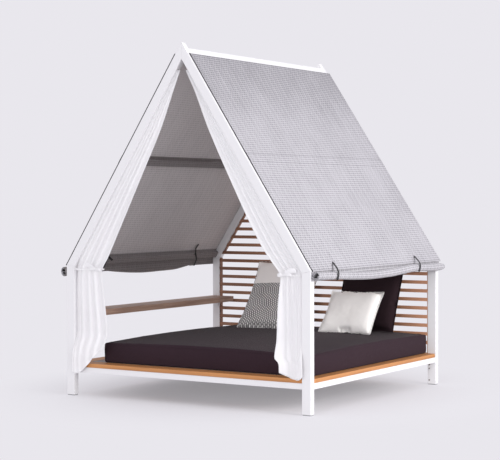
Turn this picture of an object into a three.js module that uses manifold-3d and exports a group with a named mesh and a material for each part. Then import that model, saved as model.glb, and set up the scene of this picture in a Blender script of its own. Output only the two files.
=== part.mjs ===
// Outdoor daybed with a gabled canopy frame. Millimetres, +Z up, entrance gable towards -Y.
// The origin is on the floor, in the middle of the frame.
import * as THREE from 'three';
import { mergeVertices } from 'three/addons/utils/BufferGeometryUtils.js';
import Module from 'manifold-3d';

const wasm = await Module();
wasm.setup();

// Frame
const frameWidth = 2000;
const frameDepth = 1914;
const kneeHeight = 928;
const apexHeight = 2449;
const postWidth = 65;
const postDepth = 46;
const rafterWidth = 62;
const footThickness = 6;
const footInset = 3;
const seatGap = 0.3;
const cutOverrun = 5;

// Ridge beam and the bars in the canopy's pockets
const ridgeTopWidth = 50;
const ridgeShoulderWidth = 120;
const ridgeSideHeight = 13;
const pocketBarWidth = 50;
const pocketBarThickness = 30;
const purlinSlopeShare = 0.515;
const eaveBarSetback = 8;

// Base
const deckTop = 234.3;
const deckThickness = 27;
const rimWidth = 122;
const rimCornerRadius = 18;
const apronHeight = 40;
const apronThickness = 30;
const apronSetback = 3;
const bearerWidth = 44;
const panelCount = 3;
const boardsPerPanel = 5;
const panelGap = 3;
const boardGap = 6;
const battenWidth = 40;
const battenDrop = 20;
const battenPlaceShares = [-0.5, 0.5];

// Slatted screen on the rear gable
const slatPitch = 64.5;
const slatHeight = 25;
const slatThickness = 18;
const slatFaceSetback = 1;
const firstSlatRise = 79.2;
const screenBattenWidth = 9;
const screenBattenThickness = 18;

// Shelf on the left side
const shelfTop = 606;
const shelfThickness = 42;
const shelfWidth = 203;
const bracketWidth = 40;
const bracketLeg = 42;
const bracketThickness = 4;

// Screws on the rear posts
const screwRadius = 5;
const screwHeadHeight = 4;
const screwFacets = 16;
const screwInset = 14;
const screwHeights = { upper: 148.7, middle: 120.9, lower: 34.5 };

// Canopy
const clothThickness = 3;
const canopyTopSetback = 92;
const canopyEaveOverrun = 6;
const canopyFrontSetbacks = { left: 2, right: 22 };
const canopyRearReach = 35;
const canopySag = 12;
const canopyDepthShares = [-0.94, -0.75, -0.4, 0, 0.4, 0.75, 0.94];
const sagShares = [0.14, 0.38, 0.62, 0.86];
const sagEdgePower = 6;

// Rolled blinds at the eaves
const rollWidth = 62;
const rollGap = 2.2;
const rollFrontSetback = 7;
const rollRearReach = 5;
const rollRounds = 20;
const rollSag = 36;
const rollHang = 28;
const flapThickness = 1.2;
const flapPostGap = 0.4;
const rollShapes = {
  right: {
    height: 66,
    placeShares: [-1, -0.85, -0.7, -0.45, -0.2, 0.11, 0.3, 0.45, 0.58, 0.74, 0.88, 1],
    sagShares: [0, 0.11, 0.28, 0.56, 0.75, 0.61, 0.36, 0.14, 0.17, 0.28, 0.33, 0.39],
    swellShares: [0.86, 0.98, 0.9, 0.98, 1, 1.03, 1.03, 1.02, 0.92, 1.02, 1.06, 0.86],
    straps: { front: 2, rear: 8 },
  },
  left: {
    height: 74,
    placeShares: [-1, -0.8, -0.571, -0.4, -0.2, -0.01, 0.2, 0.42, 0.55, 0.663, 0.84, 1],
    sagShares: [0.56, 0.25, 0, 0.39, 0.78, 0.97, 0.92, 0.8, 0.44, 0.14, 0.11, 0.17],
    swellShares: [1.08, 1.02, 0.9, 0.98, 1.02, 1.03, 1.02, 1, 0.96, 0.9, 1, 0.9],
    straps: { front: 2, rear: 9 },
  },
};

// Straps round the rolls
const strapWidth = 9;
const strapThickness = 1.6;
const strapGap = 1.2;
const strapArcSteps = 14;
const strapTuck = 3;
const strapTopSetback = 52;

// Curtains on the entrance gable
const curtainThickness = 2.4;
const curtainGap = 0.5;
const curtainSetback = 19;
const curtainTopDrop = 74;
const hemReach = 35;
const foldCount = 5;
const stepsPerFold = 5;
const topFoldDepth = 4;
const lowFoldDepth = 12;
const tieDrop = 28;
const tiePinchShare = 0.28;
const tiePinchSpread = 70;
const tiePinchInset = 6;
const hemTurnRise = 196;
const hemTurnLength = 150;
const hemFlareRise = 16;
const hemFlareLength = 60;
const upperRowShares = [1, 0.89, 0.74, 0.55, 0.38, 0.235, 0.132, 0.062];
const lowerRowShares = [0.18, 0.44, 0.68, 0.85, 1];
const curtainShapes = {
  right: {
    outerHemRise: 23,
    innerHemRise: 34,
    hemDip: 34,
    hemFlare: 1,
    edgeLevelShares: [1, 0.89, 0.7, 0.45, 0.22, 0.13, 0.062, 0, -0.16, -0.33, -0.63, -0.82, -0.89, -1],
    edgeReachShares: [0.022, 0.098, 0.21, 0.384, 0.553, 0.633, 0.712, 0.775, 0.772, 0.764, 0.757, 0.752, 0.766, 0.774],
  },
  left: {
    outerHemRise: -69,
    innerHemRise: 104,
    hemDip: 30,
    hemFlare: 11,
    edgeLevelShares: [1, 0.9, 0.71, 0.45, 0.2, 0.062, 0, -0.18, -0.38, -0.81, -1],
    edgeReachShares: [0.022, 0.078, 0.184, 0.365, 0.541, 0.64, 0.69, 0.684, 0.671, 0.648, 0.675],
  },
};
const tieBandHeight = 16;
const tieBandThickness = 2.5;
const tieBandGap = 3;
const tieBandCorner = 10;

// Mattress
const mattressLeftSetback = 222;
const mattressRightSetback = 85;
const mattressFrontSetback = 120;
const mattressRearSetback = 49;
const mattressCornerHeight = 138;
const mattressCrown = 32;
const mattressEdgeRadius = 13;
const mattressSideBow = 4;
const mattressCornerRadius = 18;
const mattressRounds = 48;
const mattressTopShares = [0.99, 0.85, 0.62, 0.33];

// Cushions: width across, height up the back, thickness at the crown, place from the frame's rear face, lean
const cushionEdge = 7;
const cushionDrawIn = 0.085;
const cushionRingShares = [0.3, 0.58, 0.8, 0.92, 0.98];
const cushionSideSteps = 6;
const cushionSeat = 0.3;
const cushionCrown = { inner: 2.6, outer: 0.62 };
const cushions = {
  cushion_two_tone: { width: 590, height: 605, thickness: 130, acrossShare: -0.355, setback: 422, lean: 34.5 },
  cushion_dark: { width: 500, height: 500, thickness: 128, acrossShare: 0.517, setback: 271, lean: 22 },
  cushion_ivory: { width: 438, height: 377, thickness: 112, acrossShare: 0.48, setback: 510, lean: 37 },
};

// Finishes
const finish = {
  frame: { color: 0xf2f2f4, roughness: 0.45, metalness: 0.1 },
  teak: { color: 0xc08950, roughness: 0.65, metalness: 0 },
  slat: { color: 0x8a5636, roughness: 0.65, metalness: 0 },
  shelf: { color: 0xa98a76, roughness: 0.7, metalness: 0 },
  canopy: { color: 0xc3c2c8, roughness: 0.9, metalness: 0 },
  voile: { color: 0xf4f3f6, roughness: 0.9, metalness: 0 },
  mattress: { color: 0x3a3438, roughness: 0.9, metalness: 0 },
  ivory: { color: 0xe2ded2, roughness: 0.9, metalness: 0 },
  dark: { color: 0x241d20, roughness: 0.9, metalness: 0 },
  strap: { color: 0x111113, roughness: 0.7, metalness: 0 },
  screw: { color: 0x55504c, roughness: 0.4, metalness: 0.8 },
  glide: { color: 0x2a2a2c, roughness: 0.8, metalness: 0 },
};

// Worked out from the values above
const halfWidth = frameWidth / 2;
const halfDepth = frameDepth / 2;
const innerX = halfWidth - postWidth;
const innerY = halfDepth - postDepth;
const rise = apexHeight - kneeHeight;
const slopeLength = Math.hypot(halfWidth, rise);
const slopeX = halfWidth / slopeLength;
const slopeZ = rise / slopeLength;
const rafterDrop = rafterWidth / slopeX;
const apronTop = deckTop - deckThickness - seatGap;
const deckBottom = deckTop - deckThickness;
const shift = (hemReach - canopyRearReach) / 2;

// The height of the rafters' outer face at a distance from the middle, and the distance of its inner face at a height
const outerFaceZ = (x) => apexHeight - (x * rise) / halfWidth;
const innerFaceX = (z) => Math.min(innerX, ((apexHeight - rafterDrop - z) * halfWidth) / rise);
const innerHeightAt = (x) => outerFaceZ(x) - rafterDrop;
const innerKneeZ = innerHeightAt(innerX);

// A point on a slope: distance down from the apex, height above the rafters' outer face
const onSlope = (down, above) => [down * slopeX + above * slopeZ, apexHeight - down * slopeZ + above * slopeX];

const daybed = new THREE.Group();
daybed.position.y = shift;

function addPiece(name, geometry, look) {
  const mesh = new THREE.Mesh(geometry, new THREE.MeshStandardMaterial(look));
  mesh.name = name;
  daybed.add(mesh);
  return mesh;
}

// Closed bodies

// A closed body from points and triangles, turned so that its faces point out.
function closedBody(points, triangles) {
  const at = (i) => points[i];
  let volume = 0;
  for (const [a, b, c] of triangles) {
    volume += at(a).dot(new THREE.Vector3().crossVectors(at(b), at(c)));
  }
  const turned = volume < 0 ? triangles.map(([a, b, c]) => [a, c, b]) : triangles;
  const geometry = new THREE.BufferGeometry();
  geometry.setAttribute('position', new THREE.Float32BufferAttribute(points.flatMap((p) => p.toArray()), 3));
  geometry.setIndex(turned.flat());
  geometry.computeVertexNormals();
  return geometry;
}

// Rings of equal count joined in order, closed at each end on a middle point.
function ringBody(firstPole, rings, lastPole) {
  const count = rings[0].length;
  const points = [firstPole, ...rings.flat(), lastPole];
  const last = points.length - 1;
  const triangles = [];
  for (let i = 0; i < count; i += 1) {
    const next = (i + 1) % count;
    triangles.push([0, 1 + next, 1 + i]);
    triangles.push([last, last - count + i, last - count + next]);
    for (let r = 0; r < rings.length - 1; r += 1) {
      const low = 1 + r * count;
      const high = low + count;
      triangles.push([low + i, low + next, high + next], [low + i, high + next, high + i]);
    }
  }
  return closedBody(points, triangles);
}

// Two like grids of points, front and back, joined round their edge.
function sheetBody(columns, rows, front, back) {
  const points = [];
  for (const side of [front, back]) {
    for (let j = 0; j <= rows; j += 1) {
      for (let i = 0; i <= columns; i += 1) points.push(side(i / columns, j / rows));
    }
  }
  const half = (columns + 1) * (rows + 1);
  const at = (i, j, side) => side * half + j * (columns + 1) + i;
  const triangles = [];
  const quad = (a, b, c, d) => triangles.push([a, b, c], [a, c, d]);
  for (let j = 0; j < rows; j += 1) {
    for (let i = 0; i < columns; i += 1) {
      quad(at(i, j, 0), at(i + 1, j, 0), at(i + 1, j + 1, 0), at(i, j + 1, 0));
      quad(at(i, j + 1, 1), at(i + 1, j + 1, 1), at(i + 1, j, 1), at(i, j, 1));
    }
  }
  for (let i = 0; i < columns; i += 1) {
    quad(at(i + 1, 0, 0), at(i, 0, 0), at(i, 0, 1), at(i + 1, 0, 1));
    quad(at(i, rows, 0), at(i + 1, rows, 0), at(i + 1, rows, 1), at(i, rows, 1));
  }
  for (let j = 0; j < rows; j += 1) {
    quad(at(0, j, 0), at(0, j + 1, 0), at(0, j + 1, 1), at(0, j, 1));
    quad(at(columns, j + 1, 0), at(columns, j, 0), at(columns, j, 1), at(columns, j + 1, 1));
  }
  return closedBody(points, triangles);
}

// A box between two corners.
function boxBetween(low, high) {
  const size = high.map((value, i) => value - low[i]);
  const middle = high.map((value, i) => (value + low[i]) / 2);
  return new THREE.BoxGeometry(...size).translate(...middle);
}

const outline = (points) => new THREE.Shape(points.map(([x, y]) => new THREE.Vector2(x, y)));

// An outline in X and Z, drawn out along Y.
function alongY(points, lowY, highY) {
  const depth = highY - lowY;
  const geometry = new THREE.ExtrudeGeometry(outline(points), { depth, bevelEnabled: false });
  return geometry.rotateX(Math.PI / 2).translate(0, highY, 0);
}

// A box outline between two corners, with round corners.
function roundedBox([x0, y0], [x1, y1], corner) {
  const shape = new THREE.Shape();
  shape.moveTo(x0 + corner, y0);
  shape.absarc(x1 - corner, y0 + corner, corner, -Math.PI / 2, 0, false);
  shape.absarc(x1 - corner, y1 - corner, corner, 0, Math.PI / 2, false);
  shape.absarc(x0 + corner, y1 - corner, corner, Math.PI / 2, Math.PI, false);
  shape.absarc(x0 + corner, y0 + corner, corner, Math.PI, 1.5 * Math.PI, false);
  return shape;
}

// An outline in X and Y, drawn up along Z.
function alongZ(shape, lowZ, highZ) {
  const geometry = new THREE.ExtrudeGeometry(shape, { depth: highZ - lowZ, bevelEnabled: false });
  return geometry.translate(0, 0, lowZ);
}

function toSolid(geometry) {
  const bare = geometry.clone();
  bare.deleteAttribute('normal');
  bare.deleteAttribute('uv');
  const welded = mergeVertices(bare);
  const vertProperties = new Float32Array(welded.attributes.position.array);
  const triVerts = new Uint32Array(welded.index.array);
  return new wasm.Manifold(new wasm.Mesh({ numProp: 3, vertProperties, triVerts }));
}

function toGeometry(solid) {
  const mesh = solid.getMesh();
  const geometry = new THREE.BufferGeometry();
  geometry.setAttribute('position', new THREE.Float32BufferAttribute(mesh.vertProperties, 3));
  geometry.setIndex([...mesh.triVerts]);
  return geometry;
}

const fuse = (geometries) => toGeometry(geometries.map(toSolid).reduce((whole, next) => whole.add(next)));

// Reads a table of shares: the value at a place between its stations, eased so that it has no kinks.
function eased(places, values, place) {
  const ascending = places[0] < places[places.length - 1];
  const order = ascending ? places : [...places].reverse();
  const heights = ascending ? values : [...values].reverse();
  const last = order.length - 1;
  if (place <= order[0]) return heights[0];
  if (place >= order[last]) return heights[last];
  const i = order.findIndex((station) => station > place) - 1;
  const slope = (k) => {
    if (k <= 0 || k >= last) return 0;
    return (heights[k + 1] - heights[k - 1]) / (order[k + 1] - order[k - 1]);
  };
  const span = order[i + 1] - order[i];
  const t = (place - order[i]) / span;
  const [t2, t3] = [t * t, t * t * t];
  return (
    (2 * t3 - 3 * t2 + 1) * heights[i] +
    (t3 - 2 * t2 + t) * span * slope(i) +
    (3 * t2 - 2 * t3) * heights[i + 1] +
    (t3 - t2) * span * slope(i + 1)
  );
}

// Frame

const sides = [
  { side: 'left', sign: -1 },
  { side: 'right', sign: 1 },
];
const ends = [
  { end: 'front', sign: -1 },
  { end: 'rear', sign: 1 },
];

function mirrored(points, sign) {
  return sign > 0 ? points : points.map(([x, z]) => [-x, z]).reverse();
}

function endRange(sign) {
  return sign > 0 ? [innerY, halfDepth] : [-halfDepth, -innerY];
}

// A post: its top is mitred to the rafter.
function post(sideSign, endSign) {
  const bottom = footThickness + seatGap;
  const points = [
    [innerX, bottom],
    [halfWidth, bottom],
    [halfWidth, kneeHeight - seatGap],
    [innerX, innerKneeZ - seatGap],
  ];
  return alongY(mirrored(points, sideSign), ...endRange(endSign));
}

// A rafter, from the knee's mitre to the plumb cut at the apex.
function rafter(sideSign, endSign) {
  const cut = seatGap / 2;
  const points = [
    [innerX, innerKneeZ],
    [halfWidth, kneeHeight],
    [cut, outerFaceZ(cut)],
    [cut, outerFaceZ(cut) - rafterDrop],
  ];
  return alongY(mirrored(points, sideSign), ...endRange(endSign));
}

function foot(sideSign, endSign) {
  const [lowY, highY] = endRange(endSign);
  const [lowX, highX] = sideSign > 0 ? [innerX, halfWidth] : [-halfWidth, -innerX];
  return boxBetween(
    [lowX + footInset, lowY + footInset, 0],
    [highX - footInset, highY - footInset, footThickness],
  );
}

// The ridge beam: its shoulders carry on the slope of the rafters' outer faces.
function ridgeBeam() {
  const topX = ridgeTopWidth / 2;
  const shoulderX = ridgeShoulderWidth / 2;
  const top = outerFaceZ(topX);
  const bottom = outerFaceZ(shoulderX) - ridgeSideHeight;
  const points = [
    [-shoulderX, bottom],
    [shoulderX, bottom],
    [shoulderX, outerFaceZ(shoulderX)],
    [topX, top],
    [-topX, top],
    [-shoulderX, outerFaceZ(shoulderX)],
  ];
  const reach = innerY - seatGap;
  return alongY(points, -reach, reach);
}

// A flat bar under the cloth, between the gables, from a distance down the slope.
function pocketBar(sideSign, down) {
  const points = [
    onSlope(down, -pocketBarThickness),
    onSlope(down + pocketBarWidth, -pocketBarThickness),
    onSlope(down + pocketBarWidth, 0),
    onSlope(down, 0),
  ];
  const reach = innerY - seatGap;
  return alongY(mirrored(points, sideSign), -reach, reach);
}

const purlinDown = slopeLength * purlinSlopeShare - pocketBarWidth / 2;
const eaveBarDown = slopeLength - pocketBarWidth - eaveBarSetback;

for (const { side, sign: sideSign } of sides) {
  for (const { end, sign: endSign } of ends) {
    addPiece(`post_${end}_${side}`, post(sideSign, endSign), finish.frame);
    addPiece(`rafter_${end}_${side}`, rafter(sideSign, endSign), finish.frame);
    addPiece(`foot_${end}_${side}`, foot(sideSign, endSign), finish.glide);
  }
  addPiece(`purlin_${side}`, pocketBar(sideSign, purlinDown), finish.frame);
  addPiece(`eave_rail_${side}`, pocketBar(sideSign, eaveBarDown), finish.frame);
}
addPiece('ridge_beam', ridgeBeam(), finish.frame);

// Base

const apronBottom = apronTop - apronHeight;
const apronOuterX = halfWidth - apronSetback;
const apronOuterY = halfDepth - apronSetback;

function endApron(sign) {
  const [near, far] = [apronOuterY - apronThickness, apronOuterY].map((y) => y * sign);
  const reach = innerX - seatGap;
  return boxBetween([-reach, Math.min(near, far), apronBottom], [reach, Math.max(near, far), apronTop]);
}

function sideApron(sign) {
  const [near, far] = [apronOuterX - apronThickness, apronOuterX].map((x) => x * sign);
  const reach = innerY - seatGap;
  return boxBetween([Math.min(near, far), -reach, apronBottom], [Math.max(near, far), reach, apronTop]);
}

const rimInnerX = halfWidth - rimWidth;
const rimInnerY = halfDepth - rimWidth;

// A rim board along X, with its ends let in between the posts and mitred to the side boards.
function endRim(sign) {
  const reach = innerX - seatGap;
  const points = [
    [-reach, halfDepth],
    [-reach, innerY],
    [-rimInnerX + seatGap, rimInnerY],
    [rimInnerX - seatGap, rimInnerY],
    [reach, innerY],
    [reach, halfDepth],
  ].map(([x, y]) => [x, y * sign]);
  return alongZ(outline(sign > 0 ? points : points.reverse()), deckBottom, deckTop);
}

// A rim board along Y, with its outer corners rounded.
function sideRim(sign) {
  const reach = innerY - seatGap;
  const corner = rimCornerRadius;
  const shape = new THREE.Shape();
  shape.moveTo(rimInnerX, -rimInnerY);
  shape.lineTo(innerX, -reach);
  shape.lineTo(halfWidth - corner, -reach);
  shape.absarc(halfWidth - corner, -reach + corner, corner, -Math.PI / 2, 0, false);
  shape.lineTo(halfWidth, reach - corner);
  shape.absarc(halfWidth - corner, reach - corner, corner, 0, Math.PI / 2, false);
  shape.lineTo(innerX, reach);
  shape.lineTo(rimInnerX, rimInnerY);
  const board = alongZ(shape, deckBottom, deckTop);
  return sign > 0 ? board : board.rotateZ(Math.PI);
}

const panelDepth = (2 * (rimInnerY - seatGap) - (panelCount - 1) * panelGap) / panelCount;
const panelReach = rimInnerX - seatGap;

// A loose deck panel: boards along X on two battens.
function deckPanel(index) {
  const front = -rimInnerY + seatGap + index * (panelDepth + panelGap);
  const boardWidth = (panelDepth - (boardsPerPanel - 1) * boardGap) / boardsPerPanel;
  const pieces = [];
  for (let i = 0; i < boardsPerPanel; i += 1) {
    const y = front + i * (boardWidth + boardGap);
    pieces.push(boxBetween([-panelReach, y, deckBottom], [panelReach, y + boardWidth, deckTop]));
  }
  for (const share of battenPlaceShares) {
    const x = share * panelReach;
    const low = [x - battenWidth / 2, front, deckBottom - battenDrop];
    pieces.push(boxBetween(low, [x + battenWidth / 2, front + panelDepth, deckBottom + deckThickness / 2]));
  }
  return fuse(pieces);
}

// A bearer under the deck, from the front apron to the rear one.
function bearer(middle) {
  const reach = apronOuterY - apronThickness - seatGap;
  const half = bearerWidth / 2;
  return boxBetween([middle - half, -reach, apronBottom], [middle + half, reach, apronTop]);
}

for (const { end, sign } of ends) {
  addPiece(`apron_${end}`, endApron(sign), finish.frame);
  addPiece(`deck_rim_${end}`, endRim(sign), finish.teak);
}
for (const { side, sign } of sides) {
  addPiece(`apron_${side}`, sideApron(sign), finish.frame);
  addPiece(`deck_rim_${side}`, sideRim(sign), finish.teak);
  addPiece(`bearer_${side}`, bearer(sign * rimInnerX), finish.frame);
}
addPiece('bearer_middle', bearer(0), finish.frame);
for (let i = 0; i < panelCount; i += 1) addPiece(`deck_panel_${i + 1}`, deckPanel(i), finish.teak);

// Slatted screen

const slatFrontY = innerY + slatFaceSetback;
const slatBackY = slatFrontY + slatThickness;
const slatMiddle = (index) => deckTop + firstSlatRise + index * slatPitch;

// How many slats have their middle below a height, and how high the innermost battens meet.
const slatsBelow = (z) => Math.floor((z - slatMiddle(0)) / slatPitch) + 1;
const battensMeet = innerHeightAt(screenBattenWidth + slatHeight);
const lowerSlatCount = slatsBelow(innerKneeZ - slatHeight / 2);
const gableSlatCount = slatsBelow(battensMeet - slatHeight / 2) - lowerSlatCount;

// One slat with its ends cut to the frame's inner faces.
function slat(index) {
  const low = slatMiddle(index) - slatHeight / 2;
  const high = low + slatHeight;
  const reach = (z) => innerFaceX(z) - seatGap / slopeZ;
  const points = [
    [-reach(low), low],
    [reach(low), low],
    [reach(high), high],
    [-reach(high), high],
  ];
  return alongY(points, slatFrontY, slatBackY);
}

// A batten behind the slats' ends, along the frame's inner face.
function screenBatten(sign, low, high) {
  const outer = (z) => innerFaceX(z) - seatGap / slopeZ;
  const points = [
    [outer(low) - screenBattenWidth, low],
    [outer(low), low],
    [outer(high), high],
    [outer(high) - screenBattenWidth, high],
  ];
  const front = slatBackY - slatThickness / 2;
  return alongY(mirrored(points, sign), front, slatBackY + screenBattenThickness);
}

function screen(firstSlat, count, low, high) {
  const pieces = [];
  for (let i = 0; i < count; i += 1) pieces.push(slat(firstSlat + i));
  for (const { sign } of sides) pieces.push(screenBatten(sign, low, high));
  return fuse(pieces);
}

const lowerScreenTop = innerKneeZ - seatGap;
const gableScreenBottom = slatMiddle(lowerSlatCount) - slatHeight / 2;
const gableScreenTop = slatMiddle(lowerSlatCount + gableSlatCount - 1) + slatHeight / 2;
const lowerScreen = screen(0, lowerSlatCount, deckTop + seatGap, lowerScreenTop);
const gableScreen = screen(lowerSlatCount, gableSlatCount, gableScreenBottom, gableScreenTop);
addPiece('rear_screen_lower', lowerScreen, finish.slat);
addPiece('rear_screen_gable', gableScreen, finish.slat);

// Shelf, brackets and screws

function shelf() {
  const reach = innerY - seatGap;
  const low = [-halfWidth, -reach, shelfTop - shelfThickness];
  return boxBetween(low, [-halfWidth + shelfWidth, reach, shelfTop]);
}

// An angle bracket on the face of a post, under the shelf's end.
function shelfBracket(sign) {
  const face = innerY - seatGap;
  const top = shelfTop - shelfThickness - seatGap;
  const lowX = -halfWidth + (postWidth - bracketWidth) / 2;
  const spanY = [face, face - bracketThickness].map((y) => y * sign);
  const legY = [face, face - bracketLeg].map((y) => y * sign);
  const plate = boxBetween(
    [lowX, Math.min(...spanY), top - bracketLeg],
    [lowX + bracketWidth, Math.max(...spanY), top],
  );
  const leg = boxBetween(
    [lowX, Math.min(...legY), top - bracketThickness],
    [lowX + bracketWidth, Math.max(...legY), top],
  );
  return fuse([plate, leg]);
}

// A domed screw head on the forward face of a rear post.
function screwHead(sideSign, height) {
  const rim = screwHeadHeight / 2;
  const profile = [
    new THREE.Vector2(0, 0),
    new THREE.Vector2(screwRadius, 0),
    new THREE.Vector2(screwRadius, rim),
    new THREE.Vector2(screwRadius / 2, screwHeadHeight),
    new THREE.Vector2(0, screwHeadHeight),
  ];
  const head = new THREE.LatheGeometry(profile, screwFacets).rotateX(Math.PI);
  return head.translate(sideSign * (innerX + screwInset), innerY - seatGap, height);
}

addPiece('shelf', shelf(), finish.shelf);
for (const { end, sign } of ends) addPiece(`shelf_bracket_${end}`, shelfBracket(sign), finish.frame);
for (const { side, sign } of sides) {
  for (const [level, height] of Object.entries(screwHeights)) {
    addPiece(`post_screw_${side}_${level}`, screwHead(sign, height), finish.screw);
  }
}

// Canopy

const canopyRear = halfDepth + canopyRearReach;
const canopyBottom = slopeLength + canopyEaveOverrun;
const canopyStations = (front) => [front, -innerY, ...canopyDepthShares.map((share) => share * innerY), innerY, canopyRear];

// The free spans of the cloth, down the slope: ridge beam to purlin, and purlin to eave bar.
const freeSpans = [
  [ridgeShoulderWidth / 2 / slopeX, purlinDown],
  [purlinDown + pocketBarWidth, eaveBarDown],
];
const spanStations = freeSpans.flatMap(([high, low]) => [
  high,
  ...sagShares.map((share) => high + share * (low - high)),
  low,
]);
const slopeStations = [canopyTopSetback, ...spanStations, canopyBottom];

// How far the cloth sags at a distance down the slope, none over its supports and the gables.
function clothSag(down, y) {
  const span = freeSpans.find(([high, low]) => down > high && down < low);
  if (!span) return 0;
  const across = Math.min(1, Math.abs(y) / innerY);
  const share = (down - span[0]) / (span[1] - span[0]);
  return canopySag * Math.sin(Math.PI * share) * (1 - across ** sagEdgePower);
}

// A canopy panel: one sheet over the bars, its stations closer together near the gables.
function canopyPanel(sign, frontSetback) {
  const stations = canopyStations(-halfDepth + frontSetback);
  const columns = stations.length - 1;
  const rows = slopeStations.length - 1;
  const face = (above) => (u, v) => {
    const y = stations[Math.round(u * columns)];
    const down = slopeStations[Math.round(v * rows)];
    const [x, z] = onSlope(down, above - clothSag(down, y));
    return new THREE.Vector3(sign * x, y, z);
  };
  return sheetBody(columns, rows, face(seatGap), face(seatGap + clothThickness));
}

// Rolled blinds

const rollBaseZ = kneeHeight - rollHang;
const rollMiddleX = halfWidth + rollGap + rollWidth / 2;
const rollFront = -halfDepth + rollFrontSetback;
const rollRear = halfDepth + rollRearReach;
const alongRoll = (share) => (rollFront + rollRear) / 2 + (share * (rollRear - rollFront)) / 2;

const rollMiddleZ = (shape, station) => rollBaseZ - rollSag * shape.sagShares[station];
const rollLowZ = rollBaseZ - rollSag;

// The blind rolled up: an oval bundle that sags between its straps.
function rolledBlind(sign, shape) {
  const middle = (station) =>
    new THREE.Vector3(sign * rollMiddleX, alongRoll(shape.placeShares[station]), rollMiddleZ(shape, station));
  const rings = shape.swellShares.map((swell, station) => {
    const ring = [];
    for (let i = 0; i < rollRounds; i += 1) {
      const angle = (2 * Math.PI * i) / rollRounds;
      const out = (Math.cos(angle) * rollWidth) / 2;
      const up = (Math.sin(angle) * swell * shape.height) / 2;
      ring.push(middle(station).add(new THREE.Vector3(sign * out, 0, up)));
    }
    return ring;
  });
  return ringBody(middle(0), rings, middle(rings.length - 1));
}

// The short hanging length of cloth between the canopy's edge and its roll.
function blindFlap(sign) {
  const near = halfWidth + flapPostGap;
  const far = near + flapThickness;
  const top = outerFaceZ(far) + seatGap / slopeX - 2 * seatGap;
  const [lowX, highX] = sign > 0 ? [near, far] : [-far, -near];
  return boxBetween([lowX, rollFront, rollLowZ], [highX, rollRear, top]);
}

// The angle at which a line from a point just touches the near side of an oval.
function touchAngle([x, z], reachX, reachZ) {
  return Math.atan2(z / reachZ, x / reachX) - Math.acos(1 / Math.hypot(x / reachX, z / reachZ));
}

// The strap's line: from the canopy's outer face, over and under the roll, to the inner face of the eave bar.
function strapRoute(middleZ, rollReachZ) {
  const stand = strapGap + strapThickness / 2;
  const [reachX, reachZ] = [rollWidth / 2 + stand, rollReachZ + stand];
  const start = onSlope(slopeLength - strapTopSetback, seatGap + clothThickness + stand);
  const edge = onSlope(canopyBottom, seatGap + clothThickness + stand);
  const first = touchAngle([edge[0] - rollMiddleX, edge[1] - middleZ], reachX, reachZ);
  const arc = [];
  for (let i = 0; i <= strapArcSteps; i += 1) {
    const angle = first - ((first + Math.PI / 2) * i) / strapArcSteps;
    arc.push([rollMiddleX + Math.cos(angle) * reachX, middleZ + Math.sin(angle) * reachZ]);
  }
  const under = [halfWidth - strapTuck, Math.min(middleZ - reachZ, rollLowZ - strapTuck)];
  const corner = onSlope(slopeLength, -pocketBarThickness - stand);
  const end = onSlope(eaveBarDown, -pocketBarThickness - stand);
  return [start, edge, ...arc, under, corner, end];
}

// A band of even thickness along a line.
function bandOutline(route, thickness) {
  const [one, other] = [[], []];
  route.forEach(([x, z], i) => {
    const [x0, z0] = route[Math.max(0, i - 1)];
    const [x1, z1] = route[Math.min(route.length - 1, i + 1)];
    const length = Math.hypot(x1 - x0, z1 - z0);
    const [outX, outZ] = [(-(z1 - z0) / length) * (thickness / 2), ((x1 - x0) / length) * (thickness / 2)];
    one.push([x + outX, z + outZ]);
    other.push([x - outX, z - outZ]);
  });
  return [...one, ...other.reverse()];
}

function strap(sign, shape, station) {
  const y = alongRoll(shape.placeShares[station]);
  const route = strapRoute(rollMiddleZ(shape, station), (shape.swellShares[station] * shape.height) / 2);
  const points = bandOutline(route, strapThickness);
  return alongY(mirrored(points, sign), y - strapWidth / 2, y + strapWidth / 2);
}

for (const { side, sign } of sides) {
  const shape = rollShapes[side];
  addPiece(`canopy_${side}`, canopyPanel(sign, canopyFrontSetbacks[side]), finish.canopy);
  addPiece(`blind_roll_${side}`, rolledBlind(sign, shape), finish.canopy);
  addPiece(`blind_flap_${side}`, blindFlap(sign), finish.canopy);
  for (const { end } of ends) {
    addPiece(`roll_strap_${side}_${end}`, strap(sign, shape, shape.straps[end]), finish.strap);
  }
}

// Curtains

const smooth = (t) => {
  const clamped = Math.min(1, Math.max(0, t));
  return clamped * clamped * (3 - 2 * clamped);
};

const tieHeight = kneeHeight - tieDrop;
const tieRows = [tieHeight + tieBandHeight, tieHeight - tieBandHeight];
const curtainTop = innerHeightAt(0) - curtainTopDrop;
const upperRows = upperRowShares.map((share) => tieHeight + share * (curtainTop - tieHeight));
const curtainRows = [...upperRows, ...tieRows];

// The share of the tie's pinch that is felt at a height.
const tiePinch = (z) => Math.exp(-(((z - tieHeight) / tiePinchSpread) ** 2));

const foldDepth = (z) => {
  const spread = smooth((apexHeight - z) / (apexHeight - kneeHeight));
  return (topFoldDepth + (lowFoldDepth - topFoldDepth) * spread) * (1 - tiePinchShare * tiePinch(z));
};

// The middle plane of a curtain: just inside the gable, and in front of the deck's edge at its hem.
const curtainPlane = (z) => {
  const out = smooth((deckTop + hemTurnRise - z) / hemTurnLength);
  const low = -halfDepth - hemReach + lowFoldDepth + curtainThickness / 2;
  const high = -halfDepth + curtainSetback;
  return high + (low - high) * out;
};

// How far a curtain's free edge is from the middle of the gable at a height.
function freeEdge(shape, z) {
  const reach = z > tieHeight ? curtainTop - tieHeight : tieHeight - deckTop - shape.innerHemRise;
  return halfWidth * eased(shape.edgeLevelShares, shape.edgeReachShares, (z - tieHeight) / reach);
}

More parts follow.
